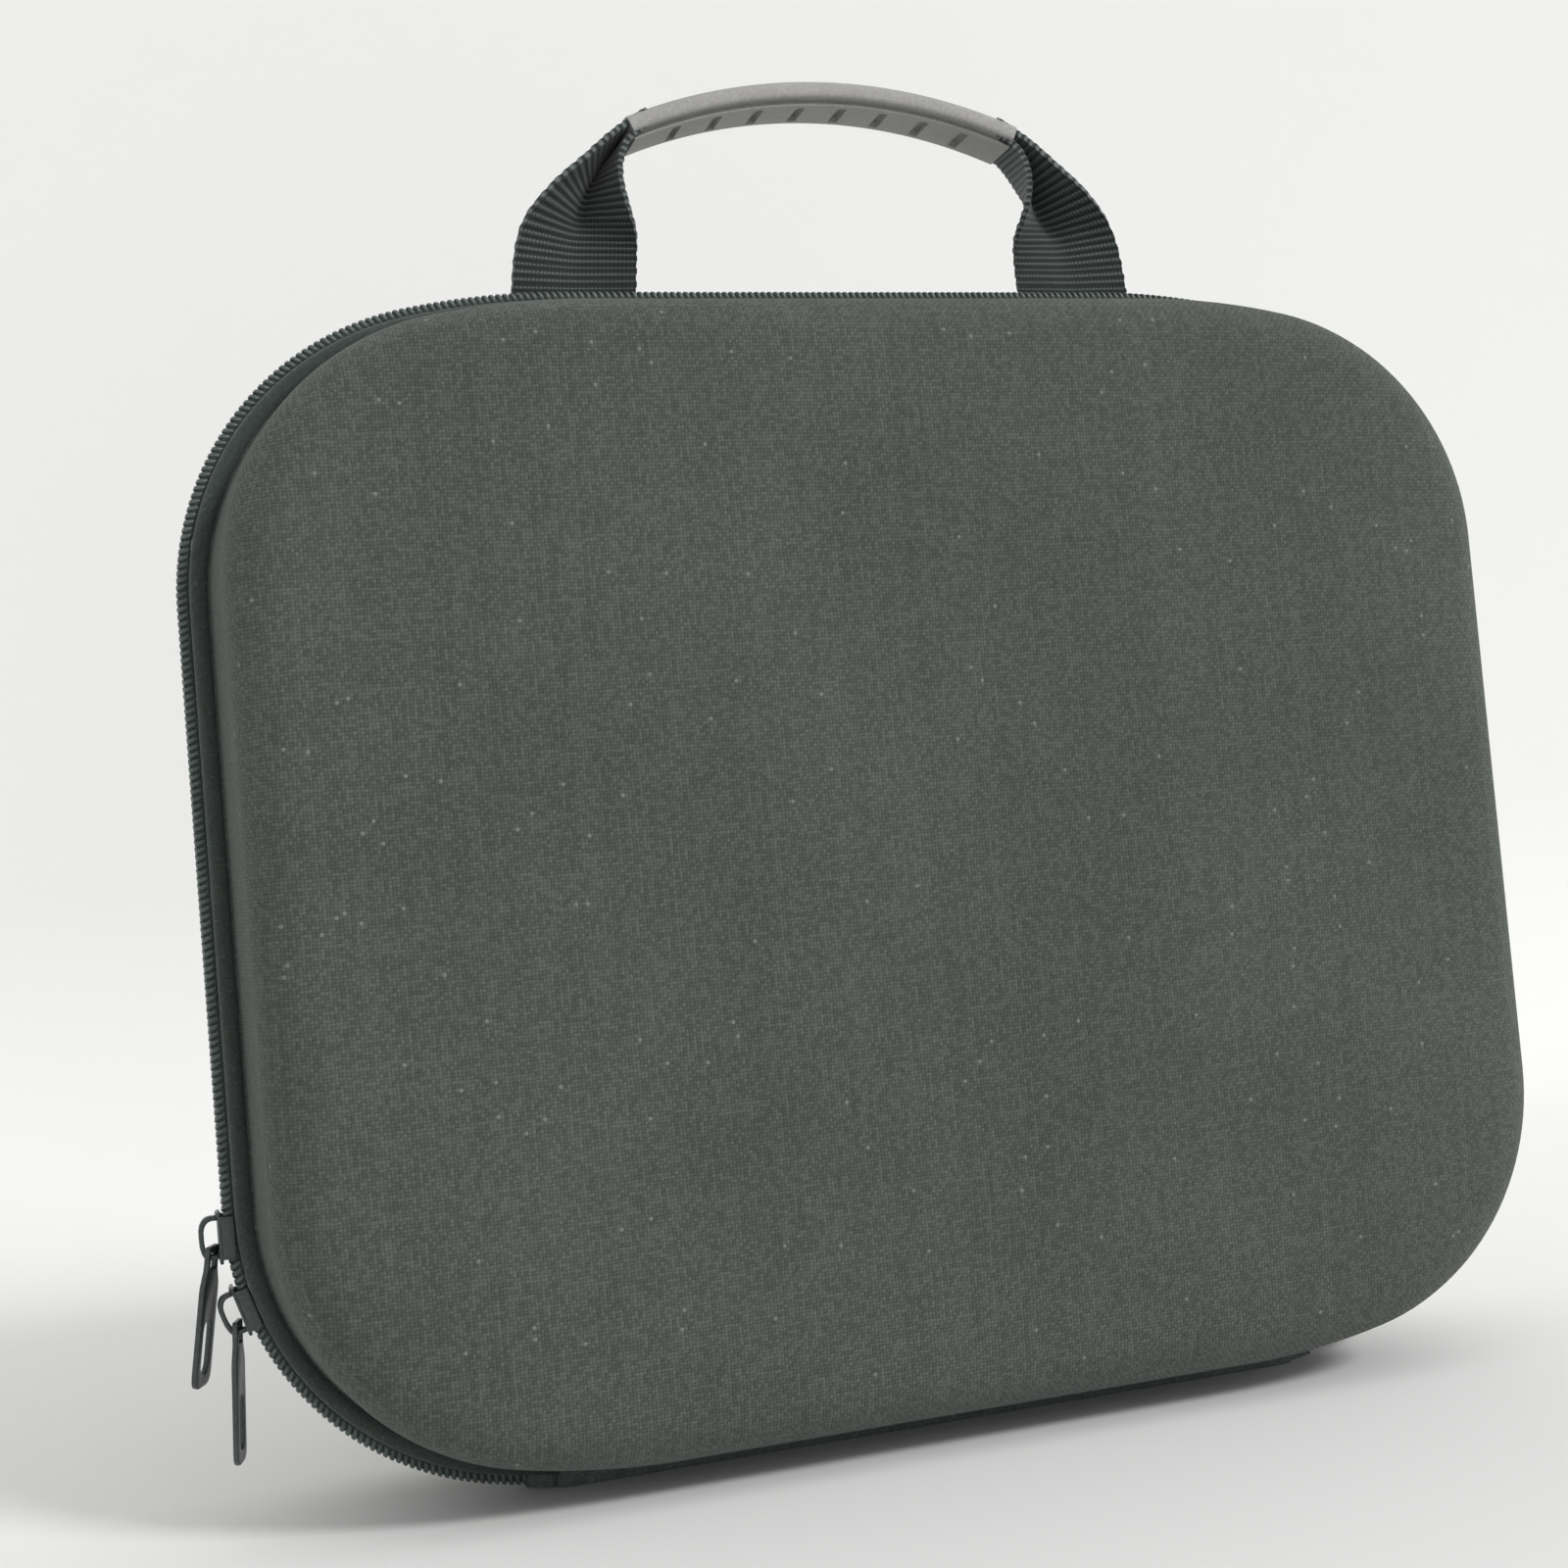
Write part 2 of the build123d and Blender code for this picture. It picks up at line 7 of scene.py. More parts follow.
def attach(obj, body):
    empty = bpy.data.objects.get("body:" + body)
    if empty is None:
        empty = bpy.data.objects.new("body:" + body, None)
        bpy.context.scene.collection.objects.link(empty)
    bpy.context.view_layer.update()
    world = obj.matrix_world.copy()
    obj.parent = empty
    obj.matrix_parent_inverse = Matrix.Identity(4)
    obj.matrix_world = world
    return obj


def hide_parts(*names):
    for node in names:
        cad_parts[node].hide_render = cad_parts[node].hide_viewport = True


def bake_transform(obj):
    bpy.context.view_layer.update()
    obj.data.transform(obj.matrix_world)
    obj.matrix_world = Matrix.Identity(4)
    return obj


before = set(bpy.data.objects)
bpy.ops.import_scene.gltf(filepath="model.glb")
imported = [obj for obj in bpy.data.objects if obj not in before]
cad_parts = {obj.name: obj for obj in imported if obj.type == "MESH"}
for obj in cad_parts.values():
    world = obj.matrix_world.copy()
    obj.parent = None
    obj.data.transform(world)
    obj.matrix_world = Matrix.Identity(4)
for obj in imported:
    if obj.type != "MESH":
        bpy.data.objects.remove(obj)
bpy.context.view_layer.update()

# Pieces are modelled lying flat in millimetres: x to the right, y up the case, z out of the lid.
# The matrix upright then stands them on the hinge edge, in metres.
plan = {"halfWidth": 150.0, "halfHeight": 127.75, "halfDepth": 35.0, "centreRise": 126.55,
        "cornerRadius": 63.5, "shoulderRadius": 170.0, "shoulderAngle": 12.0,
        "grooveInset": 6.6, "rimDepth": 5.0, "wallSlope": 2.5, "faceRound": 12.0}
bend = math.radians(plan["shoulderAngle"])
cornerX = plan["halfWidth"] - plan["cornerRadius"]
shoulderY = plan["halfHeight"] - plan["shoulderRadius"]
cornerY = shoulderY + (plan["shoulderRadius"] - plan["cornerRadius"]) * math.cos(bend)
shoulderX = cornerX - (plan["shoulderRadius"] - plan["cornerRadius"]) * math.sin(bend)
upright = Matrix.Translation((0, 0, plan["centreRise"] / 1000)) @ Matrix.Rotation(math.pi / 2, 4, "X")
upright = upright @ Matrix.Scale(0.001, 4)
mergeGap = 0.002  # vertices nearer than this are one


def clearSelection():
    if bpy.context.mode != "OBJECT":
        bpy.ops.object.mode_set(mode="OBJECT")
    bpy.ops.object.select_all(action="DESELECT")


def pick(piece):
    clearSelection()
    piece.select_set(True)
    bpy.context.view_layer.objects.active = piece


def edit(piece, mode="VERT", selectAll=False):
    pick(piece)
    bpy.ops.object.mode_set(mode="EDIT")
    bpy.ops.mesh.select_mode(type=mode)
    bpy.ops.mesh.select_all(action="SELECT" if selectAll else "DESELECT")


def leaveEdit():
    bpy.ops.object.mode_set(mode="OBJECT")


def choose(piece, mode, wanted):
    # selects the wanted vertices, edges or faces, and stays in edit mode
    edit(piece, mode)
    leaveEdit()
    parts = {"VERT": piece.data.vertices, "EDGE": piece.data.edges, "FACE": piece.data.polygons}[mode]
    for part in parts:
        part.select = bool(wanted(part))
    bpy.ops.object.mode_set(mode="EDIT")


def modify(piece, kind, **settings):
    pick(piece)
    bpy.ops.object.modifier_add(type=kind)
    modifier = piece.modifiers[-1]
    for key, value in settings.items():
        setattr(modifier, key, value)
    bpy.ops.object.modifier_apply(modifier=modifier.name)


def bevelEdges(piece, width, segments=2, angle=30):
    modify(piece, "BEVEL", width=width, segments=segments, limit_method="ANGLE",
           angle_limit=math.radians(angle))


def lastAdded(name):
    piece = bpy.context.active_object
    piece.name = piece.data.name = name
    return piece


def startRing(name, points, closed=True):
    # a circle primitive whose vertices are moved onto the section
    clearSelection()
    bpy.ops.mesh.primitive_circle_add(vertices=len(points), fill_type="NOTHING")
    piece = lastAdded(name)
    for vertex, point in zip(piece.data.vertices, points):
        vertex.co = point
    if not closed:
        ends = {0, len(points) - 1}
        choose(piece, "EDGE", lambda edge: set(edge.vertices) == ends)
        bpy.ops.mesh.delete(type="EDGE_FACE")
        leaveEdit()
    return piece


def startGrid(name, columns, rows, size=2):
    clearSelection()
    bpy.ops.mesh.primitive_grid_add(x_subdivisions=columns, y_subdivisions=rows, size=size)
    return lastAdded(name)


def sweep(piece, moves, capStart=False, capEnd=False, lone=False):
    # drags the section along its moves, as extrude and spin do by hand:
    # ("run", along x, along y, steps) and ("turn", degrees, centre, steps)
    edit(piece, selectAll=True)
    if capStart:
        bpy.ops.mesh.edge_face_add()
        bpy.ops.mesh.select_all(action="DESELECT")
        leaveEdit()
        for vertex in piece.data.vertices:
            vertex.select = True
        bpy.ops.object.mode_set(mode="EDIT")
    for kind, first, second, steps in moves:
        if kind == "run":
            shift = {"value": (first / steps, second / steps, 0)}
            for _ in range(steps):
                if lone:
                    bpy.ops.mesh.extrude_vertices_move(TRANSFORM_OT_translate=shift)
                else:
                    bpy.ops.mesh.extrude_edges_move(TRANSFORM_OT_translate=shift)
        else:
            bpy.ops.mesh.spin(steps=steps, angle=-math.radians(first), center=(*second, 0), axis=(0, 0, 1))
    if capEnd:
        bpy.ops.mesh.edge_face_add()
    leaveEdit()
    return piece


def tidyMesh(piece):
    edit(piece, selectAll=True)
    bpy.ops.mesh.remove_doubles(threshold=mergeGap)
    bpy.ops.mesh.dissolve_degenerate(threshold=mergeGap)
    bpy.ops.mesh.select_all(action="SELECT")
    bpy.ops.mesh.normals_make_consistent(inside=False)
    leaveEdit()


def mirrorPiece(piece, y=False):
    modify(piece, "MIRROR", use_axis=(True, y, False), use_mirror_merge=True, merge_threshold=mergeGap)


def mirrorCopy(piece, name, axis):
    pick(piece)
    bpy.ops.object.duplicate()
    twin = lastAdded(name)
    twin.data.transform(Matrix.Scale(-1, 4, axis))
    edit(twin, "FACE", selectAll=True)
    bpy.ops.mesh.flip_normals()
    leaveEdit()
    return twin


def joinPieces(name, parts):
    clearSelection()
    for part in parts:
        part.select_set(True)
    bpy.context.view_layer.objects.active = parts[0]
    if len(parts) > 1:
        bpy.ops.object.join()
    return lastAdded(name)


def cutAway(piece, cutter):
    modify(piece, "BOOLEAN", object=cutter, operation="DIFFERENCE", solver="EXACT")
    bpy.data.objects.remove(cutter)


def boxPiece(name, low, high, bevel=0.15):
    clearSelection()
    bpy.ops.mesh.primitive_cube_add(size=1)
    piece = lastAdded(name)
    size = [h - l for l, h in zip(low, high)]
    middle = [(h + l) / 2 for l, h in zip(low, high)]
    piece.data.transform(Matrix.Translation(middle) @ Matrix.Diagonal((*size, 1)))
    if bevel:
        bevelEdges(piece, bevel)
    return piece


def slabPiece(name, outline, low, high, bevel=0.2, segments=2):
    # a flat outline in x and y, filled and drawn up from low to high
    piece = startRing(name, [(x, y, low) for x, y in outline])
    edit(piece, selectAll=True)
    bpy.ops.mesh.edge_face_add()
    bpy.ops.mesh.extrude_region_move(TRANSFORM_OT_translate={"value": (0, 0, high - low)})
    leaveEdit()
    tidyMesh(piece)
    if bevel:
        bevelEdges(piece, bevel, segments, angle=40)
    return piece


def smooth(piece, angle=40):
    pick(piece)
    bpy.ops.object.shade_smooth_by_angle(angle=math.radians(angle))


def finishPiece(piece, body, look, nodes=(), place=upright, angle=40):
    smooth(piece, angle)
    piece.data.transform(place)
    piece.data.materials.clear()
    piece.data.materials.append(materials[look])
    if isinstance(body, str):
        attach(piece, body)
    else:
        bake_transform(piece)
    if nodes:
        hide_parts(*nodes)


def finishPair(piece, rearName, look, nodes=(), angle=40):
    # the lid's piece, and its mirror image on the rear half
    rear = mirrorCopy(piece, rearName, (0, 0, 1))
    finishPiece(piece, "lid", look, nodes[:1], angle=angle)
    finishPiece(rear, "rear", look, nodes[1:], angle=angle)


def sideStart(inset, depth):
    return (-plan["halfWidth"] + inset, 0.0, depth)


def topStart(inset, depth):
    return (0.0, plan["halfHeight"] - inset, depth)


def floorStart(inset, depth):
    return (0.0, -plan["halfHeight"] + inset, depth)


quarterPath = [("run", 0, cornerY, 1),
               ("turn", -(90 - plan["shoulderAngle"]), (-cornerX, cornerY), 26),
               ("turn", -plan["shoulderAngle"], (-shoulderX, shoulderY), 8),
               ("run", shoulderX, 0, 1)]


def floorTurn(x):
    return math.degrees(math.asin((x - shoulderX) / plan["shoulderRadius"]))


def zipPath(endX, cornerSteps=40):
    turned = plan["shoulderAngle"] - floorTurn(endX)
    return [("run", -shoulderX, 0, 1),
            ("turn", plan["shoulderAngle"], (-shoulderX, shoulderY), 12),
            ("turn", 90 - plan["shoulderAngle"], (-cornerX, cornerY), cornerSteps),
            ("run", 0, -2 * cornerY, 1),
            ("turn", 90 - plan["shoulderAngle"], (-cornerX, -cornerY), cornerSteps),
            ("turn", turned, (-shoulderX, -shoulderY), 4)]


def floorPath(endX):
    return [("run", -shoulderX, 0, 8), ("turn", -floorTurn(endX), (-shoulderX, -shoulderY), 6)]


def domeSection(skin, foot, crown=0.0):
    # from the foot up the wall, round the edge and across the face, which swells by the crown
    edge = plan["grooveInset"] + skin
    slope = plan["wallSlope"] / (plan["halfDepth"] - plan["rimDepth"])
    lean = math.atan(slope)
    radius = plan["faceRound"] - skin
    top = plan["halfDepth"] - skin
    centreInset = edge + (top - radius - plan["rimDepth"]) * slope + radius / math.cos(lean)
    section = list(foot)
    roundSteps, faceSteps = 9, 8
    for step in range(roundSteps + 1):
        angle = lean + (math.pi / 2 - lean) * step / roundSteps
        section.append((centreInset - radius * math.cos(angle), top - radius + radius * math.sin(angle)))
    for step in range(1, faceSteps + 1):
        share = step / faceSteps
        rise = crown * (1 - (1 - share) ** 3)
        section.append((centreInset + (plan["cornerRadius"] - centreInset) * share, top + rise))
    return section


def domeSheet(name, section):
    points = [sideStart(inset, depth) for inset, depth in section]
    piece = sweep(startRing(name, points, closed=False), quarterPath)
    # the middle of the face: the top edge of the hole is drawn down to the centre line
    level = section[-1][1]
    reach = plan["halfHeight"] - plan["cornerRadius"]
    choose(piece, "VERT", lambda vertex: abs(vertex.co.z - level) < 1e-4 and vertex.co.x > -cornerX - 0.01
           and cornerY - 0.01 < vertex.co.y < reach + 0.01)
    bpy.ops.mesh.extrude_edges_move(TRANSFORM_OT_translate={"value": (0, 0, 0)})
    bpy.ops.transform.resize(value=(1, 0, 1), center_override=(0, 0, 0))
    leaveEdit()
    tidyMesh(piece)
    mirrorPiece(piece, y=True)
    tidyMesh(piece)
    high = max(piece.data.polygons, key=lambda face: face.area)
    if high.normal.z < 0:
        edit(piece, "FACE", selectAll=True)
        bpy.ops.mesh.flip_normals()
        leaveEdit()
    return piece


def linear(hexColour):
    values = [int(hexColour[i:i + 2], 16) / 255 for i in (1, 3, 5)]
    return [v / 12.92 if v <= 0.04045 else ((v + 0.055) / 1.055) ** 2.4 for v in values] + [1.0]


def addNode(tree, kind, inputs=None, **settings):
    # a node given as an input is read at its first output
    node = tree.nodes.new("ShaderNode" + kind)
    for key, value in settings.items():
        setattr(node, key, value)
    for key, value in (inputs or {}).items():
        if isinstance(value, bpy.types.Node):
            value = value.outputs[0]
        if isinstance(value, bpy.types.NodeSocket):
            tree.links.new(value, node.inputs[key])
        else:
            node.inputs[key].default_value = value
    return node


def newMaterial(name, look):
    material = bpy.data.materials.new(name)
    material.use_nodes = True
    tree = material.node_tree
    shader = tree.nodes["Principled BSDF"]
    shader.inputs["Roughness"].default_value = look["roughness"]
    shader.inputs["Specular IOR Level"].default_value = look["specular"]
    shader.inputs["Metallic"].default_value = look.get("metallic", 0.0)
    shader.inputs["Sheen Weight"].default_value = look.get("sheen", 0.0)
    shader.inputs["Sheen Roughness"].default_value = 0.5
    return material, tree, shader


def ridges(tree, source, pitch=1.0):
    # rounded ridges side by side, one to a pitch
    turned = addNode(tree, "Math", {0: source, 1: math.pi / pitch}, operation="MULTIPLY")
    wave = addNode(tree, "Math", {0: turned}, operation="SINE")
    return addNode(tree, "Math", {0: wave}, operation="ABSOLUTE")


def blendLevels(tree, least, *parts):
    # least, plus each part times its share
    level = least
    for part, share in parts:
        level = addNode(tree, "Math", {0: part, 1: share, 2: level}, operation="MULTIPLY_ADD")
    return level


def spreadTones(tree, level, look, places):
    # the look's colours, each at its place on the level
    ramp = addNode(tree, "ValToRGB", {"Fac": level})
    stops = ramp.color_ramp.elements
    stops[0].position, stops[0].color = places["dark"], linear(look["dark"])
    stops[1].position, stops[1].color = places["light"], linear(look["light"])
    if "base" in places:
        stops.new(places["base"]).color = linear(look["base"])
    return ramp.outputs["Color"]


def dressShader(tree, shader, colour, height, strength, depth):
    tree.links.new(colour, shader.inputs["Base Color"])
    relief = addNode(tree, "Bump", {"Strength": strength, "Distance": depth, "Height": height})
    tree.links.new(relief.outputs["Normal"], shader.inputs["Normal"])


def clothCoords(tree):
    # flat cloth coordinates: the face is read along x and z, the walls along their own directions
    where = addNode(tree, "TexCoord")
    place = addNode(tree, "SeparateXYZ", {0: where.outputs["Object"]}).outputs
    facing = addNode(tree, "SeparateXYZ", {0: where.outputs["Normal"]}).outputs
    x, y, z = [addNode(tree, "Math", {0: facing[axis]}, operation="ABSOLUTE") for axis in "XYZ"]
    onFace = addNode(tree, "Math", {0: y, 1: 0.72}, operation="GREATER_THAN")
    onSide = addNode(tree, "Math", {0: x, 1: z}, operation="GREATER_THAN")
    flat, side, top = [addNode(tree, "CombineXYZ", {0: place[a], 1: place[b]}) for a, b in ("XZ", "YZ", "XY")]
    walls = addNode(tree, "Mix", {"Factor": onSide, 4: top, 5: side}, data_type="VECTOR").outputs[1]
    return addNode(tree, "Mix", {"Factor": onFace, 4: walls, 5: flat}, data_type="VECTOR").outputs[1]


def wovenCloth(name, look):
    material, tree, shader = newMaterial(name, look)
    where = clothCoords(tree)
    threads = 1000.0 / look["pitch"]
    scaled = addNode(tree, "VectorMath", {0: where, 1: (threads, threads * look["squash"], threads)},
                     operation="MULTIPLY")
    # each thread wanders a little
    drift = addNode(tree, "TexNoise", {"Vector": scaled, "Scale": 0.23, "Detail": 1.0}, noise_dimensions="2D")
    wandering = addNode(tree, "VectorMath", {0: drift.outputs["Color"], 1: (look["wander"],) * 3, 2: scaled},
                        operation="MULTIPLY_ADD")
    parts = addNode(tree, "SeparateXYZ", {0: wandering}).outputs
    over = addNode(tree, "TexChecker", {"Vector": wandering, "Scale": 1.0}).outputs["Fac"]
    warp, weft = ridges(tree, parts["X"]), ridges(tree, parts["Y"])
    thread = addNode(tree, "Mix", {"Factor": over, 2: warp, 3: weft}, data_type="FLOAT")
    cell = addNode(tree, "VectorMath", {0: wandering}, operation="FLOOR")
    yarn = addNode(tree, "TexWhiteNoise", {"Vector": cell}, noise_dimensions="2D")
    column = addNode(tree, "Math", {0: parts["X"]}, operation="FLOOR")
    streak = addNode(tree, "TexWhiteNoise", {"W": column}, noise_dimensions="1D")
    cloud = addNode(tree, "TexNoise", {"Vector": where, "Scale": look["cloudScale"], "Detail": 3.0},
                    noise_dimensions="2D")
    level = blendLevels(tree, 0.20, (thread, 0.30), (yarn, 0.22), (streak, 0.05), (cloud, 0.16))
    tones = spreadTones(tree, level, look, {"dark": 0.28, "base": 0.58, "light": 0.92})
    speck = addNode(tree, "Math", {0: yarn, 1: look["speckAbove"]}, operation="GREATER_THAN")
    share = addNode(tree, "Math", {0: speck, 1: look["speckShare"]}, operation="MULTIPLY")
    colour = addNode(tree, "Mix", {"Factor": share, 6: tones, 7: linear(look["speck"])}, data_type="RGBA")
    height = blendLevels(tree, 0.0, (thread, 1.0), (yarn, 0.35))
    dressShader(tree, shader, colour.outputs[2], height, look["bump"], look["pitch"] / 4000)
    return material


def plainFinish(name, look):
    material, tree, shader = newMaterial(name, look)
    where = addNode(tree, "TexCoord").outputs["Object"]
    grain = addNode(tree, "TexNoise", {"Vector": where, "Scale": 1000.0 / look["grain"], "Detail": 3.0})
    cloud = addNode(tree, "TexNoise", {"Vector": where, "Scale": 60.0, "Detail": 2.0})
    level = blendLevels(tree, 0.0, (grain, 0.6), (cloud, 0.4))
    tones = spreadTones(tree, level, look, {"dark": 0.3, "light": 0.7})
    rough = addNode(tree, "MapRange", {"Value": cloud, "To Min": look["roughness"] - 0.06,
                                       "To Max": look["roughness"] + 0.08})
    tree.links.new(rough.outputs[0], shader.inputs["Roughness"])
    dressShader(tree, shader, tones, grain, look["bump"], look["grain"] / 5000)
    return material


def ribbedWebbing(name, look):
    # ribs run across the strap; the weave reads the strap's own UV map, in millimetres
    material, tree, shader = newMaterial(name, look)
    where = addNode(tree, "UVMap", uv_map="strap")
    parts = addNode(tree, "SeparateXYZ", {0: where}).outputs
    rib = ridges(tree, parts["Y"], look["ribPitch"])
    yarn = ridges(tree, parts["X"], look["yarnPitch"])
    fray = addNode(tree, "TexNoise", {"Vector": where, "Scale": 2.6, "Detail": 3.0}, noise_dimensions="2D")
    crossed = addNode(tree, "Math", {0: rib, 1: blendLevels(tree, 0.55, (yarn, 0.45))}, operation="MULTIPLY")
    level = blendLevels(tree, 0.0, (crossed, 0.75), (fray, 0.3))
    tones = spreadTones(tree, level, look, {"dark": 0.25, "base": 0.62, "light": 0.95})
    dressShader(tree, shader, tones, level, look["bump"], 0.0003)
    return material


# what the cloths share, if their own look does not say otherwise; a pitch is a thread spacing in mm
clothBasis = {"speckAbove": 0.99, "speckShare": 0.3, "squash": 1.0, "wander": 0.3, "cloudScale": 40.0,
              "roughness": 0.85, "specular": 0.3, "sheen": 0.2}
clothLooks = {
    # polyester oxford cloth laminated on foam: matt, a square weave with paler flecks; the real threads
    # are about 0.4 mm apart and are drawn coarser, so that they show
    "oxfordCloth": {"dark": "#353936", "base": "#4c514d", "light": "#676c66", "speck": "#8a8e86",
                    "speckAbove": 0.9985, "speckShare": 0.5, "pitch": 0.75, "wander": 0.5,
                    "cloudScale": 18.0, "roughness": 0.92, "specular": 0.2, "sheen": 0.08, "bump": 0.6},
    # knitted binding over a cord: smoother and darker than the cloth
    "bindingCloth": {"dark": "#262d2a", "base": "#38403c", "light": "#4c5550", "speck": "#5f6663",
                     "speckShare": 0.4, "pitch": 0.45, "roughness": 0.8, "bump": 0.3},
    # folded binding tape of the hinge: the same cloth, painted paler than its own colour as painted light, for
    # the light the floor throws up onto the case's underside
    "hingeBindingPaintedLight": {"dark": "#414a47", "base": "#5e6864", "light": "#7b8782", "speck": "#8e9994",
                     "speckShare": 0.4, "pitch": 0.7, "bump": 0.5},
    # tricot lining: dense, dull and even
    "liningCloth": {"dark": "#323737", "base": "#444a4e", "light": "#595e61", "speck": "#656c70",
                    "pitch": 0.6, "squash": 1.6, "cloudScale": 25.0, "roughness": 0.9, "specular": 0.2,
                    "sheen": 0.4, "bump": 0.35},
    # polyester zip tape: tight twill
    "zipTape": {"dark": "#202624", "base": "#303936", "light": "#434d4a", "speck": "#4e5753",
                "pitch": 0.5, "squash": 0.6, "wander": 0.2, "bump": 0.4},
    # covered elastic: lengthwise ribs
    "elasticWeave": {"dark": "#1d2121", "base": "#2d3232", "light": "#424848", "speck": "#4f5555",
                     "pitch": 1.0, "squash": 0.5, "wander": 0.15, "bump": 0.6},
}
# smooth surfaces; grain is the size of their fine unevenness in mm
finishLooks = {
    # nylon monofilament coil: semi-gloss
    "coilNylon": {"dark": "#3b4742", "light": "#5d6863", "grain": 1.2, "roughness": 0.38, "specular": 0.5,
                  "bump": 0.1},
    # die-cut cross-linked foam: fine closed cells
    "insertFoam": {"dark": "#2d2f31", "light": "#3f4144", "grain": 0.5, "roughness": 0.95, "specular": 0.2,
                   "bump": 0.6},
    # injection-moulded rubber: fine satin grain
    "gripRubber": {"dark": "#8e8e8c", "light": "#a9a7a5", "grain": 0.7, "roughness": 0.62, "specular": 0.35,
                   "bump": 0.35},
    # die-cast zinc under gunmetal paint: worn satin
    "sliderZinc": {"dark": "#373c3a", "light": "#505855", "grain": 1.0, "roughness": 0.36, "specular": 0.5,
                   "metallic": 0.35, "bump": 0.08},
    # bonded polyester sewing thread: a slight shine
    "sewingThread": {"dark": "#4e5855", "light": "#737c78", "grain": 0.3, "roughness": 0.6, "specular": 0.3,
                     "bump": 0.3},
    # knotted nylon net: dull and dark
    "netYarn": {"dark": "#1f2323", "light": "#373d3d", "grain": 0.3, "roughness": 0.7, "specular": 0.3,
                "bump": 0.3},
}
# polypropylene webbing: strong cross ribs
webbingLook = {"dark": "#1c211f", "base": "#3c4441", "light": "#727975", "ribPitch": 1.6, "yarnPitch": 0.9,
               "roughness": 0.8, "specular": 0.3, "sheen": 0.2, "bump": 0.8}
materials = {name: wovenCloth(name, {**clothBasis, **look}) for name, look in clothLooks.items()}
materials.update((name, plainFinish(name, look)) for name, look in finishLooks.items())
materials["ribWebbing"] = ribbedWebbing("ribWebbing", webbingLook)
print("materials ready")


def makeCover():
    foot = [(4.6, 4.15), (6.2, 4.15), (6.5, 4.3), (6.6, 4.7)]
    cover = domeSheet("frontCover", domeSection(0.0, foot, crown=1.2))
    modify(cover, "SOLIDIFY", thickness=0.45, offset=-1.0)
    finishPair(cover, "rearCover", "oxfordCloth", ["front_cover", "rear_cover"], angle=60)


def makeWelt():
    section = [(2.55, 2.95), (2.42, 3.7), (2.5, 4.4), (2.9, 4.95), (3.6, 5.25), (4.4, 5.25), (5.2, 5.05),
               (5.8, 4.65), (6.02, 4.3), (5.9, 4.18), (4.6, 4.12), (3.3, 4.0), (3.2, 2.95)]
    welt = sweep(startRing("frontWelt", [sideStart(*point) for point in section]), quarterPath)
    mirrorPiece(welt, y=True)
    tidyMesh(welt)
    finishPair(welt, "rearWelt", "bindingCloth", ["front_welt", "rear_welt"], angle=50)


def makeLining():
    foot = [(8.3, 0.25), (9.7, 0.25), (10.15, 0.4), (10.4, 0.9), (10.4, 5.0)]
    lining = domeSheet("frontLining", domeSection(3.8, foot))
    modify(lining, "SOLIDIFY", thickness=0.3, offset=0.0)
    nodes = ["front_lining", "rear_lining"]
    finishPair(lining, "rearLining", "liningCloth", nodes, angle=60)


makeCover()
makeWelt()
makeLining()
print("covers, welts and linings done")


zipSizes = {"endX": 88.0, "tabStart": 86.8, "tabEnd": 93.0, "pitch": 1.5, "toothWidth": 0.95, "slant": 0.34}


def makeCoilCore():
    section = [(0.75, 0.62), (0.62, 2.1), (0.9, 2.6), (1.4, 2.8), (2.35, 2.8), (2.35, 0.62)]
    core = startRing("coilCoreFront", [topStart(*point) for point in section])
    sweep(core, zipPath(zipSizes["endX"]), capEnd=True)
    mirrorPiece(core)
    tidyMesh(core)
    finishPair(core, "coilCoreRear", "zipTape")


def makeZipTape():
    section = [(2.38, 0.5), (2.38, 2.9), (7.55, 2.9), (7.55, 2.42), (2.95, 2.42), (2.86, 2.34), (2.86, 0.5)]
    tape = startRing("zipTapeFront", [topStart(*point) for point in section])
    sweep(tape, zipPath(zipSizes["endX"]), capEnd=True)
    mirrorPiece(tape)
    tidyMesh(tape)
    finishPair(tape, "zipTapeRear", "zipTape", ["zip_tape_front", "zip_tape_rear"])


def zipCurve(inset, depth):
    clearSelection()
    bpy.ops.mesh.primitive_circle_add(vertices=3, fill_type="NOTHING")
    line = bpy.context.active_object
    edit(line, selectAll=True)
    bpy.ops.mesh.merge(type="CENTER")
    leaveEdit()
    line.data.vertices[0].co = topStart(inset, depth)
    sweep(line, zipPath(zipSizes["endX"] + 0.4, cornerSteps=60), lone=True)
    mirrorPiece(line)
    length = sum((line.data.vertices[e.vertices[0]].co - line.data.vertices[e.vertices[1]].co).length
                 for e in line.data.edges)
    pick(line)
    bpy.ops.object.convert(target="CURVE")
    line.data.dimensions = "2D"
    return line, length


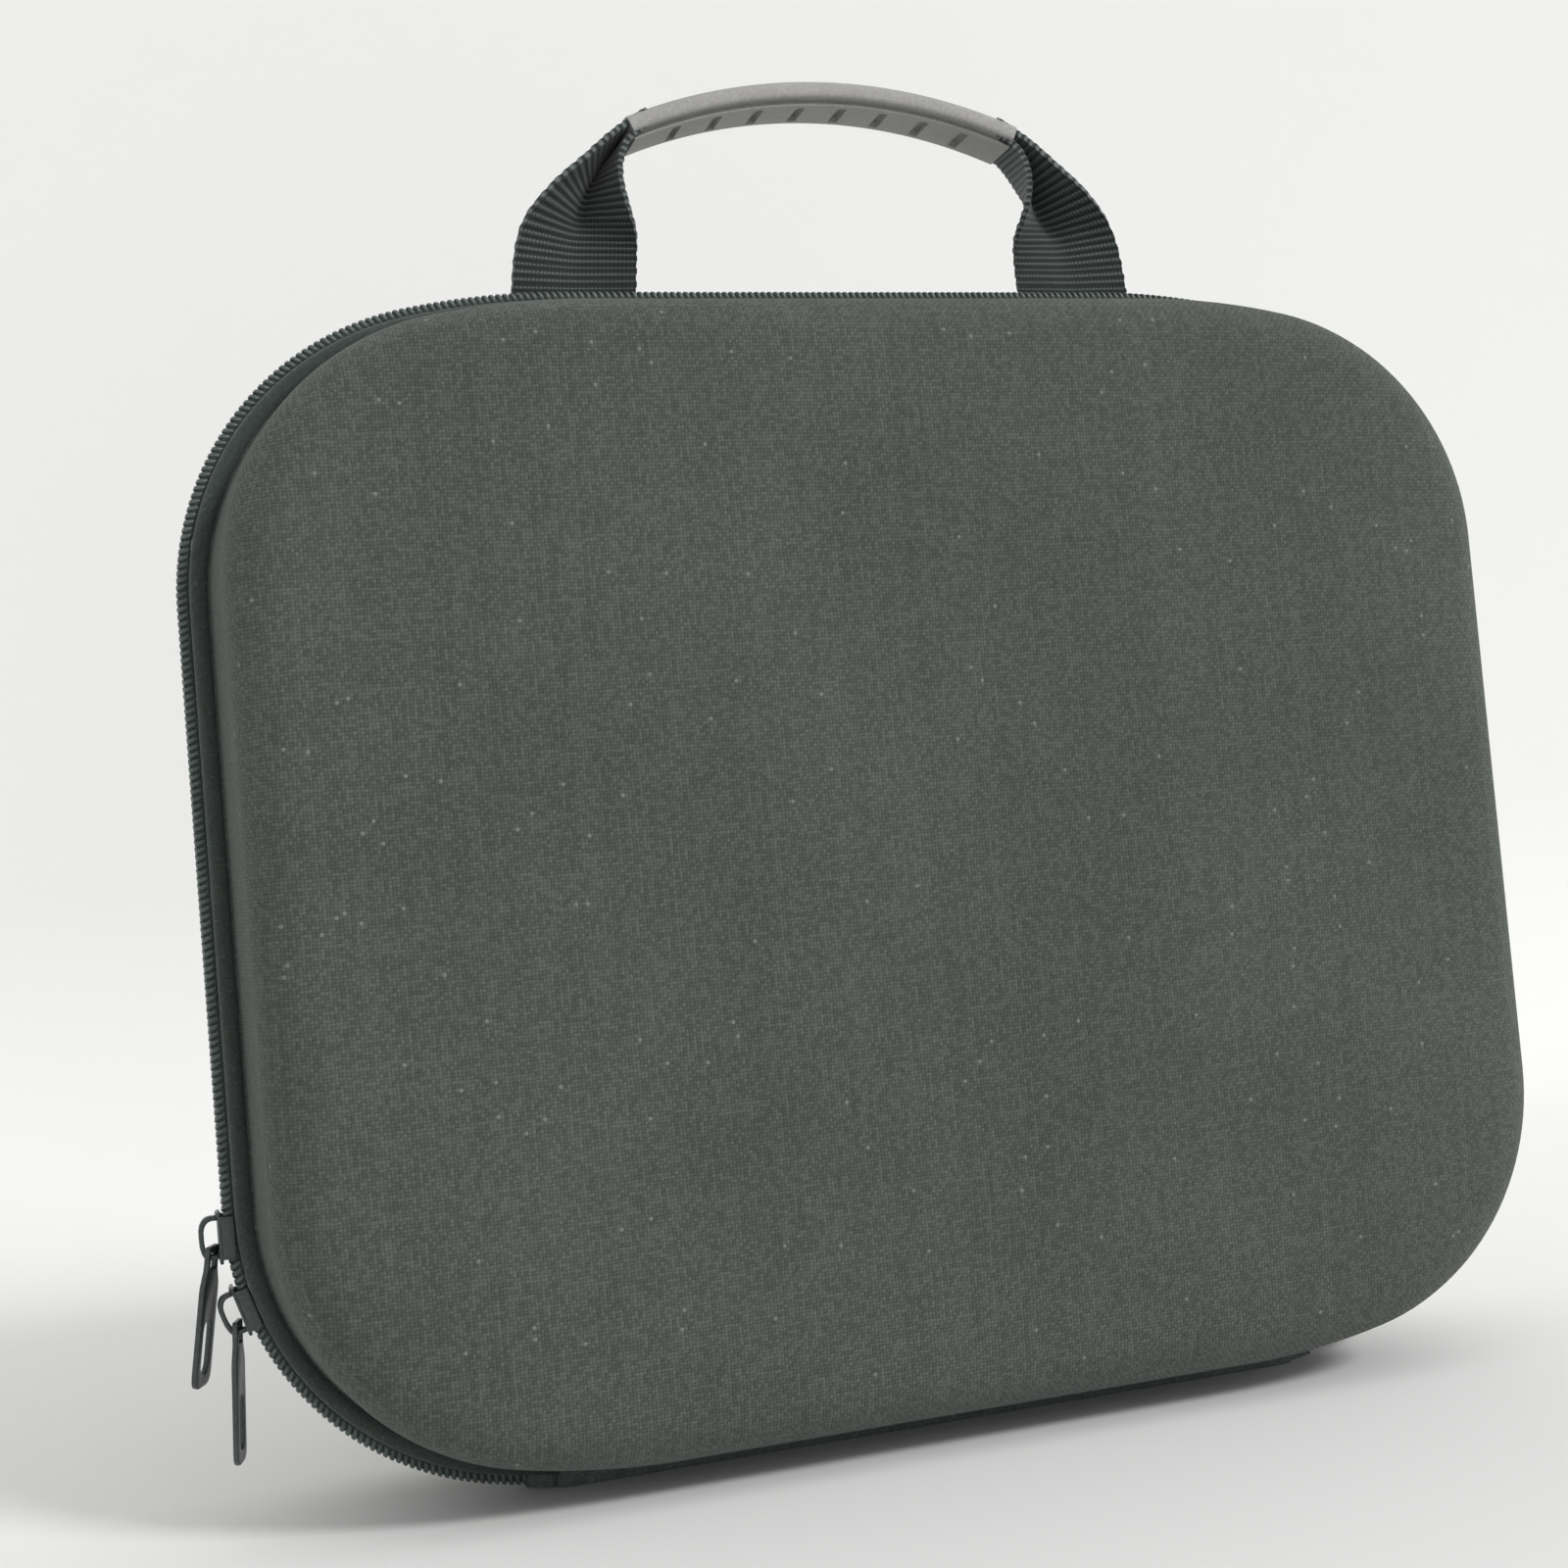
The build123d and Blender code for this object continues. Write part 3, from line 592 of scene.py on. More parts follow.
def makeTeeth(name, body, node, side, start):
    # one bent turn of the coil, repeated by an array along the zip's line
    half = zipSizes["toothWidth"] / 2
    profile = [(-1.05, 3.0), (0.35, 3.0), (0.85, 2.75), (1.15, 2.2), (1.2, 1.4), (1.12, 0.55), (0.75, 0.2),
               (0.25, 0.3), (0.3, 0.75), (0.55, 1.2), (0.5, 2.0), (0.0, 2.3), (-1.05, 2.35)]
    points = [(-half, y, z) for y, z in profile]
    tooth = startRing(name, points)
    edit(tooth, selectAll=True)
    bpy.ops.mesh.edge_face_add()
    bpy.ops.mesh.extrude_region_move(TRANSFORM_OT_translate={"value": (2 * half, 0, 0)})
    leaveEdit()
    tidyMesh(tooth)
    bevelEdges(tooth, 0.2, segments=1, angle=60)
    for vertex in tooth.data.vertices:
        vertex.co.x -= vertex.co.y * zipSizes["slant"]
        vertex.co.z *= side
    line, length = zipCurve(1.2, 0.0)
    count = int(length / zipSizes["pitch"])
    pitch = length / count
    for vertex in tooth.data.vertices:
        vertex.co.x += pitch * start
    modify(tooth, "ARRAY", fit_type="FIXED_COUNT", count=count - 1, use_relative_offset=False,
           use_constant_offset=True, constant_offset_displace=(pitch, 0, 0))
    modify(tooth, "CURVE", object=line, deform_axis="POS_X")
    bpy.data.objects.remove(line)
    edit(tooth, "FACE", selectAll=True)
    bpy.ops.mesh.normals_make_consistent(inside=False)
    leaveEdit()
    finishPiece(tooth, body, "coilNylon", [node], angle=50)


def makeEndTabs():
    section = [(-0.25, 0.45), (-0.25, 2.95), (-0.05, 3.25), (2.4, 3.25), (2.4, 3.02),
               (0.05, 3.02), (0.0, 0.45)]
    start, finish = floorTurn(zipSizes["tabStart"]), floorTurn(zipSizes["tabEnd"])
    tab = startRing("endTabsFront", [floorStart(*point) for point in section])
    turn = Matrix.Translation((-shoulderX, -shoulderY, 0)) @ Matrix.Rotation(-math.radians(start), 4, "Z")
    tab.data.transform(turn @ Matrix.Translation((0, shoulderY, 0)))
    sweep(tab, [("turn", start - finish, (-shoulderX, -shoulderY), 4)], capStart=True, capEnd=True)
    tidyMesh(tab)
    bevelEdges(tab, 0.12, angle=50)
    mirrorPiece(tab)
    nodes = ["zip_end_tabs_front", "zip_end_tabs_rear"]
    # the end tabs take the hinge binding, whose paler colour is painted light from the floor below
    finishPair(tab, "endTabsRear", "hingeBindingPaintedLight", nodes)


makeCoilCore()
makeZipTape()
makeTeeth("coilTeethFront", "lid", "zip_coil_front", 1, 0.35)
makeTeeth("coilTeethRear", "rear", "zip_coil_rear", -1, 0.85)
makeEndTabs()
print("zip done")


# the strip bags out between bagFrom and bagTo, and its underside is lowered by up to level
hinge = {"returnEnd": 86.0, "bag": 0.9, "bagFrom": 14.0, "bagTo": 84.0, "level": 1.2}


def limited(share):
    return max(0.0, min(1.0, share))


def makeHinge():
    section = [(1.22, -4.6), (1.22, -2.5), (1.25, 0.0), (1.22, 2.5), (1.22, 4.6), (1.4, 5.1), (1.8, 5.4),
               (2.6, 5.5), (3.4, 5.5), (3.5, 5.3), (2.5, 5.2), (2.42, 4.6), (2.42, 2.6), (2.42, 0.6),
               (2.0, 0.3), (2.0, -0.3), (2.42, -0.6), (2.42, -2.6), (2.42, -4.6), (2.5, -5.2), (3.5, -5.3),
               (3.4, -5.5), (2.6, -5.5), (1.8, -5.4), (1.4, -5.1)]
    strip = startRing("hingeStrip", [floorStart(*point) for point in section])
    sweep(strip, floorPath(zipSizes["tabStart"]), capEnd=True)
    mirrorPiece(strip)
    tidyMesh(strip)
    # the cloth bags a little towards the right end, as it does in the photograph
    for vertex in strip.data.vertices:
        share = limited((vertex.co.x - hinge["bagFrom"]) / 10.0) * limited((hinge["bagTo"] - vertex.co.x) / 8.0)
        if vertex.co.z > 3.0:
            vertex.co.y += share * hinge["bag"] * limited(vertex.co.y + plan["halfHeight"] - 2.4)
    # its underside stays level while the case's outline rises towards the corners
    for vertex in strip.data.vertices:
        past = abs(vertex.co.x) - shoulderX
        if past > 0:
            rise = plan["shoulderRadius"] - math.sqrt(plan["shoulderRadius"] ** 2 - past ** 2)
            inset = vertex.co.y + plan["halfHeight"] - rise
            vertex.co.y -= min(rise, hinge["level"]) * limited((2.05 - inset) / 0.8)
    across = ("rear", "lid", (0, 0.0012, 0.0), (0, -0.0012, 0.0))
    # the strip's paler colour is painted light, standing in for the light the floor throws up onto it
    finishPiece(strip, across, "hingeBindingPaintedLight", angle=50)
    returns = [(2.5, 2.42), (7.55, 2.42), (7.55, 2.88), (2.5, 2.88)]
    inner = startRing("hingeReturnFront", [floorStart(*point) for point in returns])
    sweep(inner, floorPath(hinge["returnEnd"]), capEnd=True)
    mirrorPiece(inner)
    tidyMesh(inner)
    nodes = ["hinge_tape_front", "hinge_tape_rear"]
    finishPair(inner, "hingeReturnRear", "zipTape", nodes)


makeHinge()
print("hinge done")


handle = {"y": 3.65, "pivot": 255.3, "spacing": 121.0, "width": 28.0, "thickness": 1.3, "ribPitch": 1.6,
          "ribHeight": 0.22, "ribSway": 0.16, "edgeWave": 0.12,
          "rises": (-7.5, 0.0, 11.5, 20.0, 27.0, 34.0, 38.5), "insets": (0.0, 0.0, 1.5, 4.2, 7.5, 12.5, 19.0),
          "leans": (0.0, 0.0, 5.0, 15.0, 28.0, 62.0, 70.0), "folds": (89.0, 86.0, 70.0, 38.0, 15.0, 4.0, 3.0)}
grip = {"arcRadius": 124.0, "rise": 48.4, "halfAngle": 22.3, "slots": 8, "slotPitch": 4.85,
        "slotWidth": 2.2, "slotLength": 8.4, "slotDepth": 1.5, "topRise": 254.3}


def eased(values, share):
    # smooth curve through the values, read at share of the way
    last = len(values) - 1
    at = min(share * last, last - 1e-9)
    i = int(at)
    t = at - i
    before, here, there, after = (values[max(i - 1, 0)], values[i], values[i + 1], values[min(i + 2, last)])
    return 0.5 * (2 * here + (there - before) * t + (2 * before - 5 * here + 4 * there - after) * t * t
                  + (3 * here - before - 3 * there + after) * t * t * t)


def strapSection(fold, columns):
    # points across the strap: a rounded fold at the back and two pages that close towards the front
    half = handle["width"] / 2
    turned = math.radians(90 - fold)
    rounding = 0.9 + 1.7 * fold / 90
    across, back = 0.0, 0.0
    page = [(0.0, 0.0)]
    step = half / columns
    for i in range(columns):
        bentBy = turned * min(1.0, (i + 0.5) * step / rounding)
        across += math.cos(bentBy) * step
        back -= math.sin(bentBy) * step
        page.append((across, back))
    middle = page[-1][1] / 2
    right = [(x, y - middle) for x, y in page]
    left = [(-x, y) for x, y in reversed(right[1:])]
    return left + right


def makeStraps():
    columns = 12
    across = 2 * columns
    rowsPerRib = 4
    fine = 400
    samples = [(eased(handle["insets"], i / fine), eased(handle["rises"], i / fine)) for i in range(fine + 1)]
    length = [0.0]
    for a, b in zip(samples, samples[1:]):
        length.append(length[-1] + math.hypot(b[0] - a[0], b[1] - a[1]))
    rows = int(length[-1] / handle["ribPitch"] * rowsPerRib)
    strap = startGrid("handleStrapLeft", across, rows)
    uv = strap.data.uv_layers.new(name="strap")
    places = {}
    for row in range(rows + 1):
        along = length[-1] * row / rows
        index = next(i for i, l in enumerate(length) if l >= along - 1e-9)
        share = index / fine
        lean = math.radians(eased(handle["leans"], share))
        section = strapSection(eased(handle["folds"], share), columns)
        inset, rise = samples[index]
        sway = handle["ribSway"] * (abs(math.sin(math.pi * along / handle["ribPitch"])) - 0.5)
        for column, (x, back) in enumerate(section):
            px = -handle["spacing"] / 2 + inset + x * math.cos(lean)
            pz = handle["pivot"] + rise - x * math.sin(lean)
            if column in (0, across):
                px += handle["edgeWave"] * math.sin(2.1 * along)
            places[(column, row)] = (px, pz - plan["centreRise"], -(handle["y"] + back) - sway)
    for vertex in strap.data.vertices:
        column = round((vertex.co.x + 1) / 2 * across)
        row = round((vertex.co.y + 1) / 2 * rows)
        vertex.co = places[(column, row)]
    for loop in strap.data.loops:
        column, row = loop.vertex_index % (across + 1), loop.vertex_index // (across + 1)
        uv.data[loop.index].uv = (handle["width"] * (column / across - 0.5), length[-1] * row / rows)
    edit(strap, "FACE", selectAll=True)
    bpy.ops.mesh.normals_make_consistent(inside=False)
    leaveEdit()
    # the ribs stand a little out of the cloth
    rise = [math.sin(math.pi * (v.index // (across + 1)) / rowsPerRib) ** 2 for v in strap.data.vertices]
    normals = [v.normal.copy() for v in strap.data.vertices]
    for vertex in strap.data.vertices:
        vertex.co += normals[vertex.index] * handle["ribHeight"] * (rise[vertex.index] - 0.5)
    modify(strap, "SOLIDIFY", thickness=handle["thickness"], offset=0.0)
    right = mirrorCopy(strap, "handleStrapRight", (1, 0, 0))
    ends = ("rear", "handle", (0, 0.00365, 0.2545), (0, 0.00365, 0.2625))
    finishPiece(strap, ends, "ribWebbing", ["handle_webbing", "strap_root_left"], angle=70)
    finishPiece(right, ends, "ribWebbing", ["strap_root_right"], angle=70)


def makeGrip():
    # section of the rubber bar: broad rounded cap above, narrower slotted rib below
    section = [(-7.5, 121.0), (-7.5, 122.7), (-7.2, 123.4), (-6.6, 123.85), (-5.0, 124.0), (0.0, 124.1),
               (5.0, 124.0), (6.6, 123.85), (7.2, 123.4), (7.5, 122.7), (7.5, 121.0), (7.35, 120.4),
               (6.9, 120.05), (4.9, 119.95), (4.8, 119.3), (5.7, 119.2), (5.5, 118.8), (5.0, 118.7),
               (-5.0, 118.7), (-5.5, 118.8), (-5.7, 119.2), (-4.8, 119.3), (-4.9, 119.95), (-6.9, 120.05),
               (-7.35, 120.4)]
    centre = grip["topRise"] + grip["rise"] - grip["arcRadius"] - plan["centreRise"]
    bar = startRing("handleGrip", [(0.0, centre + r, -handle["y"] + d) for d, r in section])
    turn = Matrix.Translation((0, centre, 0)) @ Matrix.Rotation(math.radians(grip["halfAngle"]), 4, "Z")
    bar.data.transform(turn @ Matrix.Translation((0, -centre, 0)))
    sweep(bar, [("turn", -2 * grip["halfAngle"], (0, centre), 48)], capStart=True, capEnd=True)
    tidyMesh(bar)
    choose(bar, "FACE", lambda face: abs(face.center.x) > 46.0 and abs(face.normal.z) < 0.1
           and abs(face.normal.x) > 0.8)
    bpy.ops.mesh.bevel(offset=0.7, segments=3, affect="EDGES")
    leaveEdit()
    cutters = []
    for step in range(grip["slots"]):
        angle = math.radians(grip["slotPitch"] * (step - (grip["slots"] - 1) / 2))
        corner = (grip["slotWidth"] / 2, grip["slotDepth"], grip["slotLength"] / 2)
        cutter = boxPiece("gripSlot", [-c for c in corner], corner, bevel=0)
        bevelEdges(cutter, 0.5, segments=3)
        place = Matrix.Translation((0, centre, -handle["y"])) @ Matrix.Rotation(-angle, 4, "Z")
        cutter.data.transform(place @ Matrix.Translation((0, grip["arcRadius"] - 5.3, 0)))
        cutters.append(cutter)
    cutAway(bar, joinPieces("gripSlots", cutters))
    finishPiece(bar, "handle", "gripRubber", ["handle_grip"], angle=45)


makeStraps()
makeGrip()
print("handle done")


slider = {"length": 10.4, "wide": 8.0, "narrow": 6.4, "clear": 0.3, "plate": 0.7, "neck": 5.0, "inner": 4.2,
          "guideAt": 3.6, "guideLength": 8.6, "guideDeep": 2.2, "crownReach": 4.4, "crownRise": 3.8,
          "crownWidth": 2.2, "wire": 1.0}


def crownOutline():
    # side view of the loop that carries the pull tab, outer line and then the inner one
    reach, rise, foot = slider["crownReach"], slider["crownRise"], slider["clear"] + slider["plate"]
    shape = [(-1.0, 0.0), (-1.0, 0.45), (-0.96, 0.66), (-0.85, 0.81), (-0.66, 0.91), (-0.38, 0.98),
             (0.0, 1.0), (0.38, 0.99), (0.62, 0.93), (0.82, 0.80), (0.95, 0.62), (1.0, 0.40), (1.0, 0.0)]
    outer = [(x * reach, foot + y * rise) for x, y in shape]
    inner = [(x * (reach - slider["wire"]), foot + y * (rise - slider["wire"])) for x, y in shape]
    for line in (outer, inner):
        line[0] = (line[0][0], foot - 0.3)
        line[-1] = (line[-1][0], foot - 0.3)
    return outer + inner[::-1]


def makeSlider(name, node, body, place, way):
    end = way * slider["length"] / 2
    low, high = slider["clear"], slider["clear"] + slider["plate"]
    wide, narrow = slider["wide"] / 2, slider["narrow"] / 2
    outline = [(-end, -narrow + 0.8), (-end * 0.92, -narrow), (-end / 2, -wide), (end * 0.86, -wide),
               (end, -wide + 0.9), (end, 0.0), (end, wide - 0.9), (end * 0.86, wide), (-end / 2, wide),
               (-end * 0.92, narrow), (-end, narrow - 0.8)]
    plate = slabPiece(name, outline, low, high, bevel=0.22)
    # the slab is drawn in x and z of the slider, so it is turned to stand square to the zip
    plate.data.transform(Matrix(((1, 0, 0, 0), (0, 0, 1, 0), (0, -1, 0, 0), (0, 0, 0, 1))))
    half = slider["guideLength"] / 2
    reach = slider["inner"]
    parts = [plate,
             boxPiece("neck", (-slider["neck"] / 2, -reach, -0.3), (slider["neck"] / 2, high - 0.2, 0.3)),
             boxPiece("innerPlate", (-4.2, -reach - 0.7, -2.0), (4.2, -reach, 2.0), bevel=0.2)]
    for side in (-1, 1):
        at = side * slider["guideAt"]
        near, far = (-half, -slider["guideDeep"], at - 0.3), (half, high - 0.1, at + 0.3)
        parts.append(boxPiece("guide", near, far, bevel=0.18))
    # the upper end is thick; the lower one stays flat, so the tab can swing past it
    parts.append(boxPiece("nose", (4.0, slider["clear"], -2.5), (5.2, high + 0.35, 2.5), bevel=0.5))
    side = slider["crownWidth"] / 2
    parts.append(slabPiece("crown", crownOutline(), -side, side, bevel=0.32, segments=3))
    whole = joinPieces(name, parts)
    finishPiece(whole, body, "sliderZinc", [node], place=place, angle=35)


def axesPlace(x, y, z, origin):
    columns = Matrix((x, y, z)).transposed().to_4x4()
    return Matrix.Translation(Vector(origin) / 1000) @ columns @ Matrix.Scale(0.001, 4)


upperPlace = axesPlace((0, 0, 1), (-1, 0, 0), (0, -1, 0), (-150.0, 0, 60.2))
cornerZ = plan["centreRise"] - cornerY
lowerTurn = math.asin((cornerZ - 45.2) / plan["cornerRadius"])
lowerOut = Vector((-math.cos(lowerTurn), 0, -math.sin(lowerTurn)))
lowerUp = Vector((-math.sin(lowerTurn), 0, math.cos(lowerTurn)))
lowerAt = Vector((-cornerX, 0, cornerZ)) + lowerOut * plan["cornerRadius"]
lowerPlace = axesPlace(lowerUp, lowerOut, (0, -1, 0), lowerAt)
makeSlider("sliderUpper", "slider_upper", "upper_slider", upperPlace, -1)
makeSlider("sliderLower", "slider_lower", "lower_slider", lowerPlace, 1)


tab = {"length": 28.5, "width": 8.4, "neck": 5.4, "thickness": 1.15, "bar": 1.3, "eye": 3.2, "eyeWidth": 3.0,
       "flare": 4.0, "slotLength": 11.0, "slotWidth": 4.2, "slotEnd": 2.6}


def makeTab(name, node, body, bar, lean, turned):
    foot = tab["length"] - tab["bar"] / 2
    neckEnd = tab["bar"] / 2 + tab["eye"]
    w, n = tab["width"] / 2, tab["neck"] / 2
    head, flareEnd = -tab["bar"] / 2, neckEnd + tab["flare"]
    right = [(n - 0.5, head), (n, head + 0.5), (n, neckEnd - 0.6), (n + 0.15, neckEnd + 0.4),
             (w - 0.2, flareEnd - 0.8), (w, flareEnd + 0.3), (w, foot - 2.6), (w - 0.25, foot - 1.3),
             (w - 1.0, foot - 0.4), (w - 2.2, foot)]
    outline = right + [(-x, y) for x, y in reversed(right)]
    half = tab["thickness"] / 2
    blade = slabPiece(name, outline, -half, half, bevel=0)
    side = tab["eyeWidth"] / 2
    cutAway(blade, boxPiece("eye", (-side, tab["bar"] / 2, -2), (side, neckEnd, 2), bevel=0))
    centre = foot - tab["slotEnd"] - tab["slotLength"] / 2
    straight = tab["slotLength"] / 2 - tab["slotWidth"] / 2
    arc = [(tab["slotWidth"] / 2 * math.cos(a), tab["slotWidth"] / 2 * math.sin(a) + straight)
           for a in [math.pi * i / 10 for i in range(11)]]
    slotLine = [(x, centre + y) for x, y in arc] + [(-x, centre - y) for x, y in arc]
    cutAway(blade, slabPiece("slot", slotLine, -2, 2, bevel=0))
    bevelEdges(blade, 0.3, segments=3, angle=50)
    twist, tilt = math.radians(turned), math.radians(lean)
    level = Vector((-math.cos(twist), math.sin(twist), 0))
    across = Vector((math.sin(twist), math.cos(twist), 0))
    out = level * math.cos(tilt) + Vector((0, 0, math.sin(tilt)))
    down = out.cross(across)
    place = axesPlace(across, down, out, bar)
    finishPiece(blade, body, "sliderZinc", [node], place=place, angle=35)


makeTab("pullTabUpper", "pull_tab_upper", "upper_tab", (-152.3, 0, 58.0), 9.5, 22.0)
makeTab("pullTabLower", "pull_tab_lower", "lower_tab", (-148.4718, 0, 42.4018), 3.0, 14.0)
print("sliders and tabs done")


def makeInsert():
    pick(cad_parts["foam_insert"])
    bpy.ops.object.duplicate()
    insert = lastAdded("foamInsert")
    edit(insert, selectAll=True)
    bpy.ops.mesh.remove_doubles(threshold=0.00001)
    bpy.ops.mesh.dissolve_limited(angle_limit=math.radians(1.5))
    leaveEdit()
    bevelEdges(insert, 0.0007, angle=60)
    finishPiece(insert, "rear", "insertFoam", ["foam_insert"], place=Matrix.Identity(4))


band = {"x": 85.0, "width": 25.0, "half": 33.0, "front": -1.9, "back": -3.2, "patch": 14.0}


def stitchRun(points, length=2.0, thick=0.42):
    # a run of lockstitches: one small rounded stitch, copied along the points
    parts = []
    for start, end in zip(map(Vector, points), map(Vector, points[1:])):
        turn = Vector((0, 0, 1)).rotation_difference((end - start).normalized()).to_matrix().to_4x4()
        count = max(1, int((end - start).length / (length * 1.45)))
        for i in range(count):
            clearSelection()
            bpy.ops.mesh.primitive_cylinder_add(vertices=6, radius=thick / 2, depth=length)
            stitch = bpy.context.active_object
            stitch.data.transform(Matrix.Translation(start.lerp(end, (i + 0.5) / count)) @ turn)
            parts.append(stitch)
    return joinPieces("stitches", parts)


def makeBand():
    half, w = band["half"], band["width"] / 2
    strap = startGrid("elasticBand", 12, 66)
    for vertex in strap.data.vertices:
        across, along = vertex.co.x, vertex.co.y
        ripple = 0.1 * math.cos(math.pi * 24 * along) * (1 - abs(across) ** 6)
        vertex.co = (band["x"] + across * w, along * half, (band["front"] + band["back"]) / 2 + ripple)
    modify(strap, "SOLIDIFY", thickness=1.1, offset=0.0)
    finishPiece(strap, "rear", "elasticWeave", ["elastic_band"], angle=70)
    patches, threads = [], []
    for side in (-1, 1):
        y = side * (half - band["patch"] / 2)
        low = (band["x"] - w, y - band["patch"] / 2, band["front"])
        high = (band["x"] + w, y + band["patch"] / 2, band["front"] + 0.5)
        patches.append(boxPiece("patch", low, high, bevel=0.2))
        x0, x1 = band["x"] - w + 1.8, band["x"] + w - 1.8
        y0, y1 = y - band["patch"] / 2 + 1.8, y + band["patch"] / 2 - 1.8
        z = band["front"] + 0.52
        loop = [(x0, y0, z), (x1, y0, z), (x1, y1, z), (x0, y1, z), (x0, y0, z), (x1, y1, z)]
        threads.append(stitchRun(loop))
    patch = joinPieces("bandPatches", patches)
    finishPiece(patch, "rear", "bindingCloth", ["band_patches"])
    finishPiece(joinPieces("bandStitches", threads), "rear", "sewingThread")


net = {"depth": 15.3, "top": 23.45, "inset": 11.6, "cells": 100, "cell": 4.2, "yarn": 0.5, "bindingHalf": 4.0}


def outlineGap(x, y):
    # distance in from the plan outline, and the way out of it
    ax, ay = abs(x), abs(y)
    if ay <= cornerY:
        gap, out = plan["halfWidth"] - ax, (1.0, 0.0)
    else:
        turned = math.atan2(ax - cornerX, ay - cornerY)
        if turned > bend:
            centre, radius = (cornerX, cornerY), plan["cornerRadius"]
        elif math.atan2(ax - shoulderX, ay - shoulderY) > 0:
            centre, radius = (shoulderX, shoulderY), plan["shoulderRadius"]
        else:
            centre, radius = (ax, shoulderY), plan["shoulderRadius"]
        away = Vector((ax - centre[0], ay - centre[1]))
        gap, out = radius - away.length, tuple(away.normalized())
    return gap, (math.copysign(out[0], x), math.copysign(out[1], y))


def makeNet():
    mesh = startGrid("netPocket", net["cells"], net["cells"], net["cells"] * net["cell"])
    mesh.data.transform(Matrix.Rotation(math.pi / 4, 4, "Z"))
    spare = net["cell"] * 0.6
    choose(mesh, "VERT", lambda vertex: outlineGap(vertex.co.x, vertex.co.y)[0] < net["inset"] - spare
           or vertex.co.y > net["top"] + spare)
    bpy.ops.mesh.delete(type="VERT")
    leaveEdit()
    for vertex in mesh.data.vertices:
        gap, out = outlineGap(vertex.co.x, vertex.co.y)
        if gap < net["inset"]:
            vertex.co.x -= out[0] * (net["inset"] - gap)
            vertex.co.y -= out[1] * (net["inset"] - gap)
        vertex.co.y = min(vertex.co.y, net["top"])
        belly = max(0.0, 1 - (vertex.co.x / 140) ** 2) * max(0.0, 1 - ((vertex.co.y + 45) / 70) ** 2)
        vertex.co.z = net["depth"] - 1.2 * belly
    modify(mesh, "WIREFRAME", thickness=net["yarn"], use_even_offset=False, use_boundary=True)
    finishPiece(mesh, "lid", "netYarn", ["net_pocket"], angle=60)


def makeBinding():
    half = plan["halfWidth"] - net["inset"]
    low, high = net["top"] - net["bindingHalf"], net["top"] + net["bindingHalf"]
    strip = startGrid("netBinding", 140, 6)
    for vertex in strip.data.vertices:
        across, up = vertex.co.x, vertex.co.y
        ruffle = 0.25 * math.sin(across * half * 1.9) * (0.4 + 0.6 * abs(up))
        vertex.co = (across * half, (low + high) / 2 + up * (high - low) / 2, net["depth"] + ruffle)
    modify(strip, "SOLIDIFY", thickness=1.3, offset=0.0)
    finishPiece(strip, "lid", "elasticWeave", ["net_binding"], angle=70)
    runs = [stitchRun([(-half + 2, y, net["depth"] - 0.85), (half - 2, y, net["depth"] - 0.85)], length=2.4)
            for y in (low + 1.3, high - 1.3)]
    finishPiece(joinPieces("bindingStitches", runs), "lid", "sewingThread")


makeInsert()
makeBand()
makeNet()
makeBinding()
for node in ("front_shell", "rear_shell"):
    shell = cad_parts[node]
    shell.data.materials.clear()
    shell.data.materials.append(materials["insertFoam"])
print("inside done")


def paleSurface(name, floorColour, wallShadeColour):
    # painted studio board, dull; where it stands up behind it is a shade darker, painted shade that evens out
    # the stronger key light on the wall; its back is clear
    material, tree, shader = newMaterial(name, {"roughness": 1.0, "specular": 0.0})
    seen = addNode(tree, "NewGeometry").outputs
    facing = addNode(tree, "SeparateXYZ", {0: seen["Normal"]}).outputs["Z"]
    upward = addNode(tree, "Math", {0: facing, 1: 0.0}, operation="MAXIMUM")
    level = addNode(tree, "Math", {0: upward, 1: 3.0}, operation="POWER")
    # the upright wall takes the darker colour: painted shade against the key light
    tone = addNode(tree, "Mix", {"Factor": level, 6: linear(wallShadeColour), 7: linear(floorColour)},
                   data_type="RGBA")
    tree.links.new(tone.outputs[2], shader.inputs["Base Color"])
    clear = addNode(tree, "BsdfTransparent")
    final = addNode(tree, "MixShader", {0: seen["Backfacing"], 1: shader, 2: clear})
    tree.links.new(final.outputs[0], tree.nodes["Material Output"].inputs["Surface"])
    return material


studio = {"halfWidth": 3.0, "front": -2.2, "wallAt": 0.30, "bend": 0.14, "wallHeight": 2.2}


def makeStage():
    clearSelection()
    bpy.ops.mesh.primitive_plane_add(size=2)
    sweepBoard = lastAdded("studioSweep")
    for vertex in sweepBoard.data.vertices:
        across = math.copysign(studio["halfWidth"], vertex.co.x)
        vertex.co = (across, studio["wallAt"] if vertex.co.y > 0 else studio["front"], 0)
    choose(sweepBoard, "EDGE", lambda edge: all(sweepBoard.data.vertices[i].co.y > 0 for i in edge.vertices))
    bpy.ops.mesh.spin(steps=24, angle=-math.radians(90), center=(0, studio["wallAt"], studio["bend"]),
                      axis=(1, 0, 0))
    bpy.ops.mesh.extrude_edges_move(TRANSFORM_OT_translate={"value": (0, 0, studio["wallHeight"])})
    bpy.ops.mesh.select_all(action="SELECT")
    bpy.ops.mesh.remove_doubles(threshold=0.00001)
    leaveEdit()
    smooth(sweepBoard, 30)
    # the second colour, for the upright wall, is a shade darker as painted shade against the key light
    sweepBoard.data.materials.append(paleSurface("paintedBoard", "#f2f2f1", "#ededec"))


